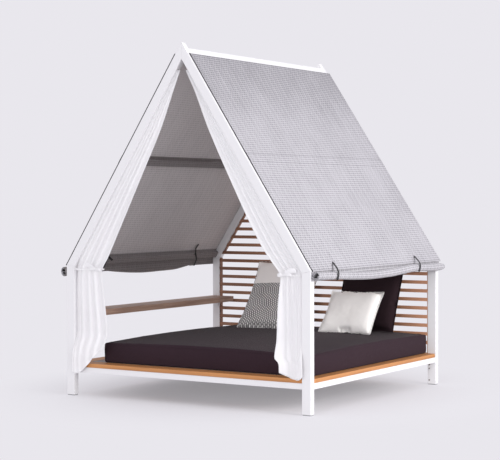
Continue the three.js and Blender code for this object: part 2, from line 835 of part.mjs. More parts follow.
// The height of a row of a curtain's points, where u goes across from the frame to the free edge.
function rowHeight(shape, u, row) {
  if (row < curtainRows.length) return curtainRows[row];
  const rise = shape.outerHemRise + (shape.innerHemRise - shape.outerHemRise) * smooth(u);
  const hem = deckTop + rise - shape.hemDip * Math.sin(Math.PI * u);
  return tieRows[1] + (hem - tieRows[1]) * lowerRowShares[row - curtainRows.length];
}

// A curtain: gathered in folds from the frame's inner face to its free edge, which the tie draws aside.
function curtain(sign, shape) {
  const columns = foldCount * stepsPerFold;
  const rows = curtainRows.length - 1 + lowerRowShares.length;
  const face = (offset) => (u, v) => {
    const z = rowHeight(shape, u, Math.round(v * rows));
    const flare = shape.hemFlare * smooth((deckTop + hemFlareRise - z) / hemFlareLength);
    const outer = innerFaceX(z) - curtainGap - tiePinchInset * tiePinch(z) + flare;
    const x = outer + (freeEdge(shape, z) - outer) * u;
    const fold = -Math.cos(2 * Math.PI * foldCount * u) * foldDepth(z);
    return new THREE.Vector3(sign * x, curtainPlane(z) + fold + offset, z);
  };
  return sheetBody(columns, rows, face(-curtainThickness / 2), face(curtainThickness / 2));
}

// The tie: a soft band round the curtain.
function curtainTie(sign, shape) {
  const low = Math.min(...tieRows.map((z) => freeEdge(shape, z))) - tieBandGap - tieBandThickness;
  const high = innerX - seatGap;
  const reachY = lowFoldDepth + curtainThickness / 2 + tieBandGap + tieBandThickness;
  const band = (inset) => {
    return roundedBox([low + inset, -reachY + inset], [high - inset, reachY - inset], tieBandCorner - inset);
  };
  const [foot, head] = [tieHeight - tieBandHeight / 2, tieHeight + tieBandHeight / 2];
  const whole = alongZ(band(0), foot, head);
  const hollow = alongZ(band(tieBandThickness), foot - cutOverrun, head + cutOverrun);
  const ring = toGeometry(toSolid(whole).subtract(toSolid(hollow)));
  ring.translate(0, curtainPlane(tieHeight), 0);
  return sign > 0 ? ring : ring.rotateZ(Math.PI).translate(0, 2 * curtainPlane(tieHeight), 0);
}

for (const { side, sign } of sides) {
  const shape = curtainShapes[side];
  addPiece(`curtain_${side}`, curtain(sign, shape), finish.voile);
  addPiece(`curtain_tie_${side}`, curtainTie(sign, shape), finish.voile);
}

// Mattress

const mattressWidth = frameWidth - mattressLeftSetback - mattressRightSetback;
const mattressDepth = frameDepth - mattressFrontSetback - mattressRearSetback;
const mattressMiddleX = (mattressLeftSetback - mattressRightSetback) / 2;
const mattressMiddleY = (mattressFrontSetback - mattressRearSetback) / 2;
const mattressBase = deckTop + seatGap;

// The height of the mattress's top, where across and along are shares of its half width and half depth.
function mattressTop(across, along) {
  const fall = Math.min(1, (across * across + along * along) / 2);
  return mattressBase + mattressCornerHeight + mattressCrown * (1 - fall);
}

function mattress() {
  const [halfX, halfY] = [mattressWidth / 2, mattressDepth / 2];
  const plan = roundedBox([-halfX, -halfY], [halfX, halfY], mattressCornerRadius);
  const edge = plan.getSpacedPoints(mattressRounds).slice(0, mattressRounds);
  const ringAt = (shrink, height) =>
    edge.map((point) => {
      const x = point.x - Math.sign(point.x) * Math.min(Math.abs(point.x), shrink);
      const y = point.y - Math.sign(point.y) * Math.min(Math.abs(point.y), shrink);
      return new THREE.Vector3(mattressMiddleX + x, mattressMiddleY + y, height(x / halfX, y / halfY));
    });
  const flat = (z) => () => mattressBase + z;
  const below = (drop) => (across, along) => mattressTop(across, along) - drop;
  const radius = mattressEdgeRadius;
  const bow = mattressSideBow;
  const soft = radius * (1 - Math.SQRT1_2);
  const scaled = (share) =>
    edge.map(({ x, y }) => {
      const [sx, sy] = [(x * share * (halfX - radius)) / halfX, (y * share * (halfY - radius)) / halfY];
      const z = mattressTop(sx / halfX, sy / halfY);
      return new THREE.Vector3(mattressMiddleX + sx, mattressMiddleY + sy, z);
    });
  const rings = [
    ringAt(radius, flat(0)),
    ringAt(bow / 2 + soft, flat(soft)),
    ringAt(bow / 2, flat(radius)),
    ringAt(0, flat(mattressCornerHeight / 2)),
    ringAt(bow / 2, below(radius)),
    ringAt(bow / 2 + soft, below(soft)),
    ...mattressTopShares.map(scaled),
  ];
  const bottom = new THREE.Vector3(mattressMiddleX, mattressMiddleY, mattressBase);
  const top = new THREE.Vector3(mattressMiddleX, mattressMiddleY, mattressTop(0, 0));
  return ringBody(bottom, rings, top);
}

addPiece('mattress', mattress(), finish.mattress);

// Cushions

// A cushion standing on its lower edge: crowned both ways, its four sides drawn in between the corners.
function cushionBody({ width, height, thickness }) {
  const edge = [];
  for (let side = 0; side < 4; side += 1) {
    for (let i = 0; i < cushionSideSteps; i += 1) {
      const along = -1 + (2 * i) / cushionSideSteps;
      const drawn = 1 - cushionDrawIn * (1 - along * along);
      const turn = (side * Math.PI) / 2;
      const [x, z] = [along, -drawn];
      edge.push([x * Math.cos(turn) - z * Math.sin(turn), x * Math.sin(turn) + z * Math.cos(turn)]);
    }
  }
  const swell = (share) => cushionEdge / 2 + ((thickness - cushionEdge) / 2) * (1 - share ** cushionCrown.inner) ** cushionCrown.outer;
  const ring = (share, sign) =>
    edge.map(([x, z]) => {
      const point = [(x * share * width) / 2, (z * share * height) / 2 + height / 2];
      return new THREE.Vector3(point[0], sign * swell(share), point[1]);
    });
  const rings = [
    ...cushionRingShares.map((share) => ring(share, -1)),
    ring(1, -1),
    ring(1, 1),
    ...[...cushionRingShares].reverse().map((share) => ring(share, 1)),
  ];
  const pole = (sign) => new THREE.Vector3(0, (sign * thickness) / 2, height / 2);
  return ringBody(pole(-1), rings, pole(1));
}

// The height at which a leaning cushion just rests on the crown of the mattress.
function restHeight(geometry, x, y) {
  const position = geometry.attributes.position;
  let height = -Infinity;
  for (let i = 0; i < position.count; i += 1) {
    const across = (x + position.getX(i) - mattressMiddleX) / (mattressWidth / 2);
    const along = (y + position.getY(i) - mattressMiddleY) / (mattressDepth / 2);
    height = Math.max(height, mattressTop(across, along) - position.getZ(i));
  }
  return height + cushionSeat;
}

const covers = { cushion_two_tone: finish.ivory, cushion_dark: finish.dark, cushion_ivory: finish.ivory };

for (const [name, cushion] of Object.entries(cushions)) {
  const geometry = cushionBody(cushion).rotateX(-THREE.MathUtils.degToRad(cushion.lean));
  const x = mattressMiddleX + (cushion.acrossShare * mattressWidth) / 2;
  const y = halfDepth - cushion.setback;
  addPiece(name, geometry, covers[name]).position.set(x, y, restHeight(geometry, x, y));
}

export default daybed;
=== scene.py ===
"""The looks of a gable-framed outdoor daybed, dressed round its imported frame."""

import logging
import math
from collections.abc import Callable, Sequence
from dataclasses import dataclass, field
from enum import Enum

import bmesh
import bpy
from mathutils import Matrix, Vector, noise
from mathutils.bvhtree import BVHTree


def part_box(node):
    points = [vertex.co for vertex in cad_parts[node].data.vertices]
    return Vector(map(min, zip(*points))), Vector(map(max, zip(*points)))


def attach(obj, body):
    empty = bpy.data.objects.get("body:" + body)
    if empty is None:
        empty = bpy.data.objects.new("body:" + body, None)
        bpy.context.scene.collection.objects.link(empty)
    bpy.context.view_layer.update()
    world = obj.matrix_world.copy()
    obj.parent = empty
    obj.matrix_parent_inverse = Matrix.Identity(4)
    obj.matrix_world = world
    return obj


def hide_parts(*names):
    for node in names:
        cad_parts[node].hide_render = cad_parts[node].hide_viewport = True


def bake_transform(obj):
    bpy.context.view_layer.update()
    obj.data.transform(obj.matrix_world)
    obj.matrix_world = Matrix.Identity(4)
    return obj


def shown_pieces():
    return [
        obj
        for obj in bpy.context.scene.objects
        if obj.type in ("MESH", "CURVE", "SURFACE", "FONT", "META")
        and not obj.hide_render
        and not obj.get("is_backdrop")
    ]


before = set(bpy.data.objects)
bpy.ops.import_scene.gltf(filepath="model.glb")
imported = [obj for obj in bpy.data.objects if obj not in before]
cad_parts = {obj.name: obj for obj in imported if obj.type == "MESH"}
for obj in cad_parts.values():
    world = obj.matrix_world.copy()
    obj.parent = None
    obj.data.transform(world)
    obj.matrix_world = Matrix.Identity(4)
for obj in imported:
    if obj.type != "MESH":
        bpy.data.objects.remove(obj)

LOG = logging.getLogger("daybed")
Colour = tuple[float, float, float]
Point = tuple[float, float, float]
Place = Callable[[float, float], Vector]
Flat = Callable[[float, float], tuple[float, float]]


# Shared sizes, in metres


@dataclass(frozen=True)
class Gable:
    """The frame's outline, which every piece of cloth is hung from."""

    half_width: float = 1.0
    half_depth: float = 0.957
    knee: float = 0.928
    apex: float = 2.449
    post_width: float = 0.065
    post_depth: float = 0.046
    rafter_width: float = 0.062
    deck_top: float = 0.2343
    bar_width: float = 0.05
    bar_thickness: float = 0.03
    purlin_down: float = 0.9124
    eave_bar_down: float = 1.7623

    @property
    def rise(self) -> float:
        """How far the apex is above the knee."""
        return self.apex - self.knee

    @property
    def slope_length(self) -> float:
        """The rafter's outer face from the apex to the knee."""
        return math.hypot(self.half_width, self.rise)

    @property
    def slope_x(self) -> float:
        """The share of a step down the slope that goes outward."""
        return self.half_width / self.slope_length

    @property
    def slope_z(self) -> float:
        """The share of a step down the slope that goes down."""
        return self.rise / self.slope_length

    @property
    def inner_x(self) -> float:
        """The post's inner face."""
        return self.half_width - self.post_width

    @property
    def inner_y(self) -> float:
        """The gable's inner face."""
        return self.half_depth - self.post_depth

    def on_slope(self, sign: int, down: float, y: float, above: float) -> Vector:
        """Finds a point on a slope.

        Args:
            sign: 1 for the right slope, -1 for the left one.
            down: The distance down from the apex.
            y: The place along the ridge.
            above: The height above the rafters' outer face.

        Returns:
            The point in the row frame.
        """
        x = down * self.slope_x + above * self.slope_z
        z = self.apex - down * self.slope_z + above * self.slope_x
        return Vector((sign * x, y, z))

    def inner_face_x(self, z: float) -> float:
        """How far the frame's inner face is from the middle at a height."""
        under = self.apex - self.rafter_width / self.slope_x - z
        return min(self.inner_x, under * self.half_width / self.rise)


GABLE = Gable()


class Side(Enum):
    """The two sides of the daybed, as seen from the entrance."""

    LEFT = -1
    RIGHT = 1

    @property
    def word(self) -> str:
        """The side as node names have it."""
        return self.name.lower()


class Grain(Enum):
    """The axis that a board's grain runs along."""

    ALONG_X = 0
    ALONG_Y = 1


def smooth(t: float) -> float:
    """A share eased at both ends."""
    t = min(1.0, max(0.0, t))
    return t * t * (3 - 2 * t)


def between(start: float, end: float, share: float) -> float:
    """The number that is a share of the way from one to another."""
    return start + (end - start) * share


def powered(value: float, power: float) -> float:
    """A number raised to a power, its sign kept."""
    return math.copysign(abs(value) ** power, value)


def toned(colour: Colour, factor: float) -> Colour:
    """A colour made darker or paler by a factor."""
    return tuple(min(1.0, factor * part) for part in colour)


def curve_through(places: Sequence[float], values: Sequence[float], place: float) -> float:
    """Reads a smooth curve through points.

    Args:
        places: Where the values are, rising.
        values: The values there.
        place: Where to read the curve.

    Returns:
        The curve's value, without overshoot at its ends.
    """
    if place <= places[0]:
        return values[0]
    if place >= places[-1]:
        return values[-1]
    i = max(k for k in range(len(places) - 1) if places[k] <= place)
    span = places[i + 1] - places[i]
    t = (place - places[i]) / span

    def tangent(k: int) -> float:
        """The curve's slope at one of its points."""
        a, b = max(0, k - 1), min(len(places) - 1, k + 1)
        return (values[b] - values[a]) / (places[b] - places[a])

    t2, t3 = t * t, t * t * t
    return (
        (2 * t3 - 3 * t2 + 1) * values[i]
        + (t3 - 2 * t2 + t) * span * tangent(i)
        + (3 * t2 - 2 * t3) * values[i + 1]
        + (t3 - t2) * span * tangent(i + 1)
    )


def ripple(x: float, y: float, z: float = 0.0) -> float:
    """A smooth random height between about -1 and 1, the same on each run."""
    return noise.noise(Vector((x, y, z)))


def lengths_along(path: Sequence[Vector]) -> list[float]:
    """How far along a path each of its points is."""
    lengths = [0.0]
    for a, b in zip(path, path[1:]):
        lengths.append(lengths[-1] + (b - a).length)
    return lengths


def spaced(path: Sequence[Vector], count: int) -> list[Vector]:
    """Spreads points evenly along a closed path.

    Args:
        path: The path's points, the first of them not repeated.
        count: How many points there will be.

    Returns:
        The new points.
    """
    ring = [*path, path[0]]
    lengths = lengths_along(ring)
    points, k = [], 0
    for i in range(count):
        goal = lengths[-1] * i / count
        while lengths[k + 1] < goal:
            k += 1
        span = max(1e-9, lengths[k + 1] - lengths[k])
        points.append(ring[k].lerp(ring[k + 1], (goal - lengths[k]) / span))
    return points


def corners(points: Sequence[Vector]) -> tuple[Vector, Vector]:
    """The lowest and the highest corner of the box round some points."""
    return tuple(Vector(pick(p[i] for p in points) for i in range(3)) for pick in (min, max))


# Shaders


class Value:
    """A number in a shader, on which arithmetic adds Math nodes."""

    def __init__(self, graph: "Graph", socket: bpy.types.NodeSocket) -> None:
        """Wraps a socket of a graph."""
        self.graph = graph
        self.socket = socket

    def math(self, operation: str, *others: "Value | float") -> "Value":
        """Adds one Math node that starts from this number."""
        return self.graph.math(operation, self, *others)

    def __add__(self, other: "Value | float") -> "Value":
        """Adds."""
        return self.math("ADD", other)

    __radd__ = __add__

    def __sub__(self, other: "Value | float") -> "Value":
        """Takes away."""
        return self.math("SUBTRACT", other)

    def __rsub__(self, other: "Value | float") -> "Value":
        """Takes this number away from another."""
        return self.graph.math("SUBTRACT", other, self)

    def __mul__(self, other: "Value | float") -> "Value":
        """Multiplies."""
        return self.math("MULTIPLY", other)

    __rmul__ = __mul__

    def __truediv__(self, other: "Value | float") -> "Value":
        """Divides."""
        return self.math("DIVIDE", other)

    def __abs__(self) -> "Value":
        """The size without the sign."""
        return self.math("ABSOLUTE")

    def fraction(self) -> "Value":
        """What is left over a whole number."""
        return self.math("FRACT")

    def off_middle(self) -> "Value":
        """How far the number is from the middle between two whole numbers."""
        return abs(self.fraction() - 0.5)

    def whole(self) -> "Value":
        """The whole number below."""
        return self.math("FLOOR")

    def wave(self) -> "Value":
        """The sine."""
        return self.math("SINE")

    def threads(self, pitch: float, phase: float = 0.0) -> "Value":
        """A wave that comes back at each pitch."""
        turned = self * (2 * math.pi / pitch)
        return (turned + phase if phase else turned).wave()

    def above(self, limit: "Value | float") -> "Value":
        """1 above a limit, otherwise 0."""
        return self.math("GREATER_THAN", limit)

    def most(self, other: "Value | float") -> "Value":
        """The larger of two numbers."""
        return self.math("MAXIMUM", other)

    def clamped(self) -> "Value":
        """The number kept between 0 and 1."""
        return self.most(0.0).math("MINIMUM", 1.0)

    def eased(self, low: float, high: float) -> "Value":
        """0 below one limit and 1 above another, eased between them."""
        node = self.graph.node(
            "ShaderNodeMapRange",
            {"interpolation_type": "SMOOTHSTEP"},
            {"Value": self, "From Min": low, "From Max": high},
        )
        return Value(self.graph, node.outputs["Result"])


class Graph:
    """A material's node tree."""

    def __init__(self, name: str) -> None:
        """Makes an empty material."""
        self.material = bpy.data.materials.new(name)
        self.material.use_nodes = True
        self.tree = self.material.node_tree
        self.tree.nodes.clear()

    def node(
        self,
        kind: str,
        settings: dict[str, object] | None = None,
        inputs: dict[str | int, object] | None = None,
    ) -> bpy.types.Node:
        """Adds a node.

        Args:
            kind: The node's type.
            settings: What is set on the node first.
            inputs: The values or links of its sockets.

        Returns:
            The new node.
        """
        node = self.tree.nodes.new(kind)
        for key, value in (settings or {}).items():
            setattr(node, key, value)
        for key, value in (inputs or {}).items():
            socket = node.inputs[key]
            if isinstance(value, Value):
                self.tree.links.new(value.socket, socket)
            elif isinstance(value, bpy.types.NodeSocket):
                self.tree.links.new(value, socket)
            elif isinstance(value, tuple) and len(value) == 3 and len(socket.default_value) == 4:
                socket.default_value = (*value, 1.0)
            else:
                socket.default_value = value
        return node

    def math(self, operation: str, *terms: Value | float) -> Value:
        """Adds a Math node."""
        node = self.node("ShaderNodeMath", {"operation": operation}, dict(enumerate(terms)))
        return Value(self, node.outputs[0])

    def parts(self, vector: bpy.types.NodeSocket) -> tuple[Value, Value, Value]:
        """Takes a vector apart."""
        apart = self.node("ShaderNodeSeparateXYZ", None, {0: vector})
        return tuple(Value(self, socket) for socket in apart.outputs)

    def coordinates(self) -> tuple[Value, Value, Value]:
        """A point's place in the row frame, in metres."""
        return self.parts(self.node("ShaderNodeTexCoord").outputs["Object"])

    def cloth_place(self) -> tuple[Value, Value]:
        """A point's place on the flat cloth, in metres."""
        return self.parts(self.node("ShaderNodeUVMap", {"uv_map": "cloth"}).outputs["UV"])[:2]

    def vector(self, x: Value | float, y: Value | float, z: Value | float = 0.0) -> bpy.types.NodeSocket:
        """Puts three numbers together."""
        return self.node("ShaderNodeCombineXYZ", None, {0: x, 1: y, 2: z}).outputs[0]

    def cloudy(self, where: bpy.types.NodeSocket, scale: float, detail: float = 3.0, rough: float = 0.5) -> Value:
        """Adds a noise.

        Args:
            where: The coordinates.
            scale: How many features there are in a metre.
            detail: How many finer layers it has.
            rough: How strong they are.

        Returns:
            A number from about 0 to 1.
        """
        sockets = {"Vector": where, "Scale": scale, "Detail": detail, "Roughness": rough}
        return Value(self, self.node("ShaderNodeTexNoise", None, sockets).outputs["Fac"])

    def random(self, seed: Value) -> Value:
        """A random number for each whole number."""
        node = self.node("ShaderNodeTexWhiteNoise", {"noise_dimensions": "1D"}, {"W": seed})
        return Value(self, node.outputs["Value"])

    def mix(self, share: Value | float, one: object, other: object) -> bpy.types.NodeSocket:
        """Mixes two colours."""
        node = self.node("ShaderNodeMix", {"data_type": "RGBA"}, {0: share, 6: one, 7: other})
        return node.outputs[2]

    def bump(self, height: Value, strength: float, distance: float) -> bpy.types.NodeSocket:
        """Turns a height into a bump."""
        sockets = {"Strength": strength, "Distance": distance, "Height": height}
        return self.node("ShaderNodeBump", None, sockets).outputs[0]

    def surface(self, share: float | Value, other: str, colour: object, **inputs: object) -> None:
        """Ends the material in its surface.

        Args:
            share: How much of a second shader is mixed in.
            other: The second shader's type.
            colour: Its colour.
            inputs: The first shader's sockets, with _ for a space.
        """
        sockets = {key.replace("_", " "): value for key, value in inputs.items()}
        surface = self.node("ShaderNodeBsdfPrincipled", None, sockets).outputs[0]
        if share:
            second = self.node(other, None, {"Color": colour}).outputs[0]
            surface = self.node("ShaderNodeMixShader", None, {0: share, 1: surface, 2: second}).outputs[0]
        self.node("ShaderNodeOutputMaterial", None, {0: surface})

    def finish(self, through: float = 0.0, **inputs: object) -> None:
        """Ends the material in its surface, through which some light may shine."""
        self.surface(through, "ShaderNodeBsdfTranslucent", inputs["Base_Color"], **inputs)


@dataclass(frozen=True)
class Coat:
    """A finished material and the slot name that it stands for."""

    material: bpy.types.Material
    slot: str


@dataclass(frozen=True)
class Finish:
    """What every kind of finish has. A finish outside the daybed has no slot."""

    name: str
    slot: str

    def paint(self, g: Graph) -> None:
        """Adds the finish's nodes, in each kind's own way."""
        raise NotImplementedError

    def coat(self) -> Coat:
        """Makes the material."""
        g = Graph(self.name)
        self.paint(g)
        return Coat(g.material, self.slot)


@dataclass(frozen=True)
class PaintedMetal(Finish):
    """White powder coat with a faint grain, a little worn and dusty low down."""

    base: Colour = (0.745, 0.74, 0.755)
    dusty: Colour = (0.66, 0.65, 0.65)
    dust_top: float = 0.16
    dust_share: float = 0.22
    wear_share: float = 0.12
    rough: float = 0.36
    speckles: float = 900.0

    def paint(self, g: Graph) -> None:
        """Sprays the coat.

        Args:
            g: The material's graph.
        """
        x, y, z = g.coordinates()
        where = g.vector(x, y, z)
        drift = g.cloudy(where, 5, 4)
        dust = (1 - z.eased(0.0, self.dust_top)) * self.dust_share
        g.finish(
            Base_Color=g.mix(drift * self.wear_share + dust, self.base, self.dusty),
            Roughness=drift * 0.14 + self.rough,
            Normal=g.bump(g.cloudy(where, self.speckles, 2), 0.1, 0.0004),
        )


@dataclass(frozen=True)
class Teak(Finish):
    """Oiled teak: fine long grain, rings and pores, a little different on each board."""

    light: Colour
    dark: Colour
    grain: Grain
    pitch: float
    across: int
    offset: float
    # How strongly the wood is made paler towards +x and darker towards -x: painted light and painted shade.
    drift: float = 0.0
    rough: float = 0.49
    grain_stretch: float = 0.045
    pore_stretch: float = 0.02
    ring_waves: tuple[float, float, float] = (260.0, 170.0, 14.0)
    pores: float = 1300.0

    def paint(self, g: Graph) -> None:
        """Draws the grain.

        Args:
            g: The material's graph.
        """
        place = g.coordinates()
        run = place[self.grain.value]
        one, other = (place[i] for i in range(3) if i != self.grain.value)
        board = ((place[self.across] - self.offset) / self.pitch).whole()
        where = g.vector(run * self.grain_stretch + board * 1.7, one + board * 0.3, other)
        figure = g.cloudy(where, 34, 5, 0.6)
        wide, high, wavy = self.ring_waves
        rings = ((one * wide + other * high + figure * wavy).wave() * 0.5 + 0.5).eased(0.1, 0.95)
        pores = g.cloudy(g.vector(run * self.pore_stretch, one, other), self.pores, 2)
        streak = figure.eased(0.34, 0.66) * 0.55 + rings * 0.22 + (g.random(board + 7.0) - 0.5) * 0.5
        deep = toned(self.dark, 0.45)
        colour = g.mix(streak.clamped(), self.light, self.dark)
        colour = g.mix(pores.eased(0.60, 0.74) * 0.5, colour, deep)
        # Painted light towards +x and painted shade towards -x.
        if self.drift:
            colour = g.mix(place[0].eased(-0.2, 1.0) * self.drift, colour, toned(self.light, 1.9))
            colour = g.mix((1 - place[0].eased(-1.0, 0.0)) * self.drift * 0.8, colour, deep)
        height = rings * 0.25 + figure * 0.3 - pores.eased(0.58, 0.72) * 0.7
        g.finish(Base_Color=colour, Roughness=figure * 0.16 + self.rough, Normal=g.bump(height, 0.28, 0.0007))


@dataclass(frozen=True)
class CheckCloth(Finish):
    """A woven canvas of two greys in short dashes, row on row, with its seams' stitching."""

    light: Colour
    dark: Colour
    contrast: float = 0.8
    # A share of painted shade near the ridge; a share below zero paints light there.
    top_shade: float = 0.0
    seams: tuple[float, ...] = ()
    row: float = 0.0175
    dash: float = 0.030
    thread: float = 0.0011
    yarn: float = 420.0
    # How strong the streaks down the slope are: painted shading of soft wrinkles.
    streak: float = 0.3
    wander: float = 0.0036
    stitch: float = 0.0058
    rough: float = 0.9

    def dashes(self, g: Graph, u: Value, v: Value) -> Value:
        """Finds where the dark yarn lies on top.

        Args:
            g: The material's graph.
            u: The place along the rows.
            v: The place across the rows.

        Returns:
            A number from 0 to 1.
        """
        line = (v / self.row).whole()
        step = line.math("MODULO", 2.0) * 0.5
        row = 1 - (v / self.row).off_middle().eased(0.16, 0.34)
        dash = (u / self.dash + step + g.random(line) * 0.5).fraction().above(0.36)
        column = (u / (self.dash * 2)).off_middle().eased(0.1, 0.3)
        return row * (dash * 0.75 + 0.25) * 0.82 + column * 0.18

    def paint(self, g: Graph) -> None:
        """Weaves the canvas and stitches its seams.

        Args:
            g: The material's graph.
        """
        u, v = g.cloth_place()
        where = g.vector(u, v)
        wander = (g.cloudy(where, 26, 2) - 0.5) * self.wander
        u, v = u + wander, v - wander
        weave = u.threads(self.thread) * v.threads(self.thread)
        along = g.cloudy(g.vector(u * 0.05, v), self.yarn)
        across = g.cloudy(g.vector(u, v * 0.05), self.yarn)
        slub = along * 0.6 + across * 0.4
        drift = g.cloudy(where, 3.5, 4, 0.6)
        share = self.dashes(g, u, v) * self.contrast
        share = share + (slub - 0.5) * 1.3 + (drift - 0.5) * 0.5 + weave * 0.08
        # Streaks down the slope: painted shading of soft wrinkles.
        share = share + (g.cloudy(g.vector(u, v * 0.13), 10) - 0.5) * self.streak
        # Painted shade near the ridge; a share below zero paints light there.
        if self.top_shade:
            share = share + (1 - v.eased(0.09, 0.75)) * self.top_shade
        colour = g.mix(share.clamped(), self.light, self.dark)
        height = weave * 0.5 + slub
        for seam in self.seams:
            line = 1 - abs(v - seam).eased(0.0008, 0.0022)
            gap = (u / self.stitch).fraction().above(0.3)
            colour = g.mix(line * gap * 0.6, colour, toned(self.dark, 0.45))
            height = height - line * 1.6 + line * gap
        g.finish(
            Base_Color=colour,
            Roughness=self.rough,
            Sheen_Weight=0.05,
            Specular_IOR_Level=0.3,
            Normal=g.bump(height, 0.5, 0.0007),
        )


@dataclass(frozen=True)
class ZigzagCloth(Finish):
    """A heavy jacquard with steep zigzag lines, as on the lower half of a cushion."""

    light: Colour
    dark: Colour
    pitch: float = 0.0185
    turn_height: float = 0.11
    slant: float = 0.32
    dash: float = 0.0175
    thread: float = 0.0012
    rough: float = 0.92

    def paint(self, g: Graph) -> None:
        """Weaves the zigzag.

        Args:
            g: The material's graph.
        """
        u, v = g.cloth_place()
        where = g.vector(u, v)
        fold = (v / self.turn_height).off_middle() * self.turn_height * self.slant
        column = (u + fold) / self.pitch
        gap = (v / self.dash + column.whole() * 0.5).off_middle().eased(0.24, 0.36)
        line = column.off_middle().eased(0.15, 0.30).most(gap * 0.8)
        weave = u.threads(self.thread) * v.threads(self.thread)
        slub = g.cloudy(where, 420)
        share = line * 0.95 + (slub - 0.5) * 0.5 + (g.cloudy(where, 9) - 0.5) * 0.2
        g.finish(
            Base_Color=g.mix(share.clamped(), self.light, self.dark),
            Roughness=self.rough,
            Sheen_Weight=0.05,
            Specular_IOR_Level=0.25,
            Normal=g.bump(line * -0.8 + weave * 0.5 + slub * 0.6, 0.55, 0.0010),
        )


@dataclass(frozen=True)
class PlainCloth(Finish):
    """A plain weave with slubs and a soft drift of tone, which light may shine through."""

    base: Colour
    deep: Colour
    thread: float = 0.0011
    slub_share: float = 0.4
    sheen: float = 0.06
    gloss: float = 0.25
    rough: float = 0.9
    through: float = 0.0
    cover: float = 1.0

    def paint(self, g: Graph) -> None:
        """Weaves the cloth.

        Args:
            g: The material's graph.
        """
        x, y, z = g.coordinates()
        weave = x.threads(self.thread) * z.threads(self.thread)
        weave = weave + y.threads(self.thread) * z.threads(self.thread, 1.5)
        along = g.cloudy(g.vector(x * 0.06, y * 0.06, z), 700, 2)
        upright = g.cloudy(g.vector(x, y, z * 0.06), 500, 2)
        slub = along * 0.5 + upright * 0.5
        drift = g.cloudy(g.vector(x, y, z), 4)
        share = (slub - 0.5) * self.slub_share * 2 + weave * 0.1 + drift * 0.35
        g.finish(
            through=self.through,
            Base_Color=g.mix(share.clamped(), self.base, self.deep),
            Roughness=self.rough,
            Alpha=self.cover,
            Sheen_Weight=self.sheen,
            Specular_IOR_Level=self.gloss,
            Normal=g.bump(weave * 0.4 + slub, 0.45, 0.0006),
        )


@dataclass(frozen=True)
class Webbing(Finish):
    """Flat black woven tape with ribs across and cords along it."""

    base: Colour = (0.006, 0.006, 0.007)
    worn: Colour = (0.03, 0.03, 0.032)
    rib: float = 0.0013
    cord: float = 0.0018
    rough: float = 0.6

    def paint(self, g: Graph) -> None:
        """Weaves the tape.

        Args:
            g: The material's graph.
        """
        u, v = g.cloth_place()
        rib, cord = v.threads(self.rib), u.threads(self.cord)
        worn = g.cloudy(g.vector(u, v), 260).eased(0.5, 0.8)
        g.finish(
            Base_Color=g.mix(worn * 0.5 + (rib * 0.5 + 0.5) * 0.2, self.base, self.worn),
            Roughness=worn * 0.1 + self.rough,
            Normal=g.bump(rib + cord * 0.5, 0.6, 0.0004),
        )


@dataclass(frozen=True)
class Hardware(Finish):
    """Brushed or moulded small parts with a fine random grain."""

    base: Colour
    metallic: float
    rough: float

    def paint(self, g: Graph) -> None:
        """Brushes the part.

        Args:
            g: The material's graph.
        """
        x, y, z = g.coordinates()
        worn = g.cloudy(g.vector(x, y, z), 190)
        brushed = g.cloudy(g.vector(x * 0.1, y, z), 2600, 2)
        g.finish(
            Base_Color=g.mix(worn * 0.35, self.base, toned(self.base, 0.5)),
            Metallic=self.metallic,
            Roughness=worn * 0.2 + self.rough,
            Normal=g.bump(brushed, 0.25, 0.0002),
        )


@dataclass(frozen=True)
class StudioFloor(Finish):
    """A pale matt floor that fades into the studio's light far from the daybed; near the daybed a share of that
    glow stays, painted light that lightens its shadow.
    """

    glow: Colour
    pale: Colour = (0.755, 0.748, 0.775)
    # The share of glow kept near the daybed: painted light in its shadow.
    soft: float = 0.25
    near: float = 0.7
    far: float = 2.1
    rough: float = 0.85

    def paint(self, g: Graph) -> None:
        """Lays the floor's colour and its fading.

        Args:
            g: The material's graph.
        """
        x, y, _ = g.coordinates()
        # Near the daybed the glow's share stays at soft: painted light in its shadow.
        fade = (x * x + y * y).math("SQRT").eased(self.near, self.far) * (1 - self.soft) + self.soft
        colour = g.mix(g.cloudy(g.vector(x, y), 6, 2) * 0.05, self.pale, toned(self.pale, 0.9))
        g.surface(fade, "ShaderNodeEmission", self.glow, Base_Color=colour, Roughness=self.rough)


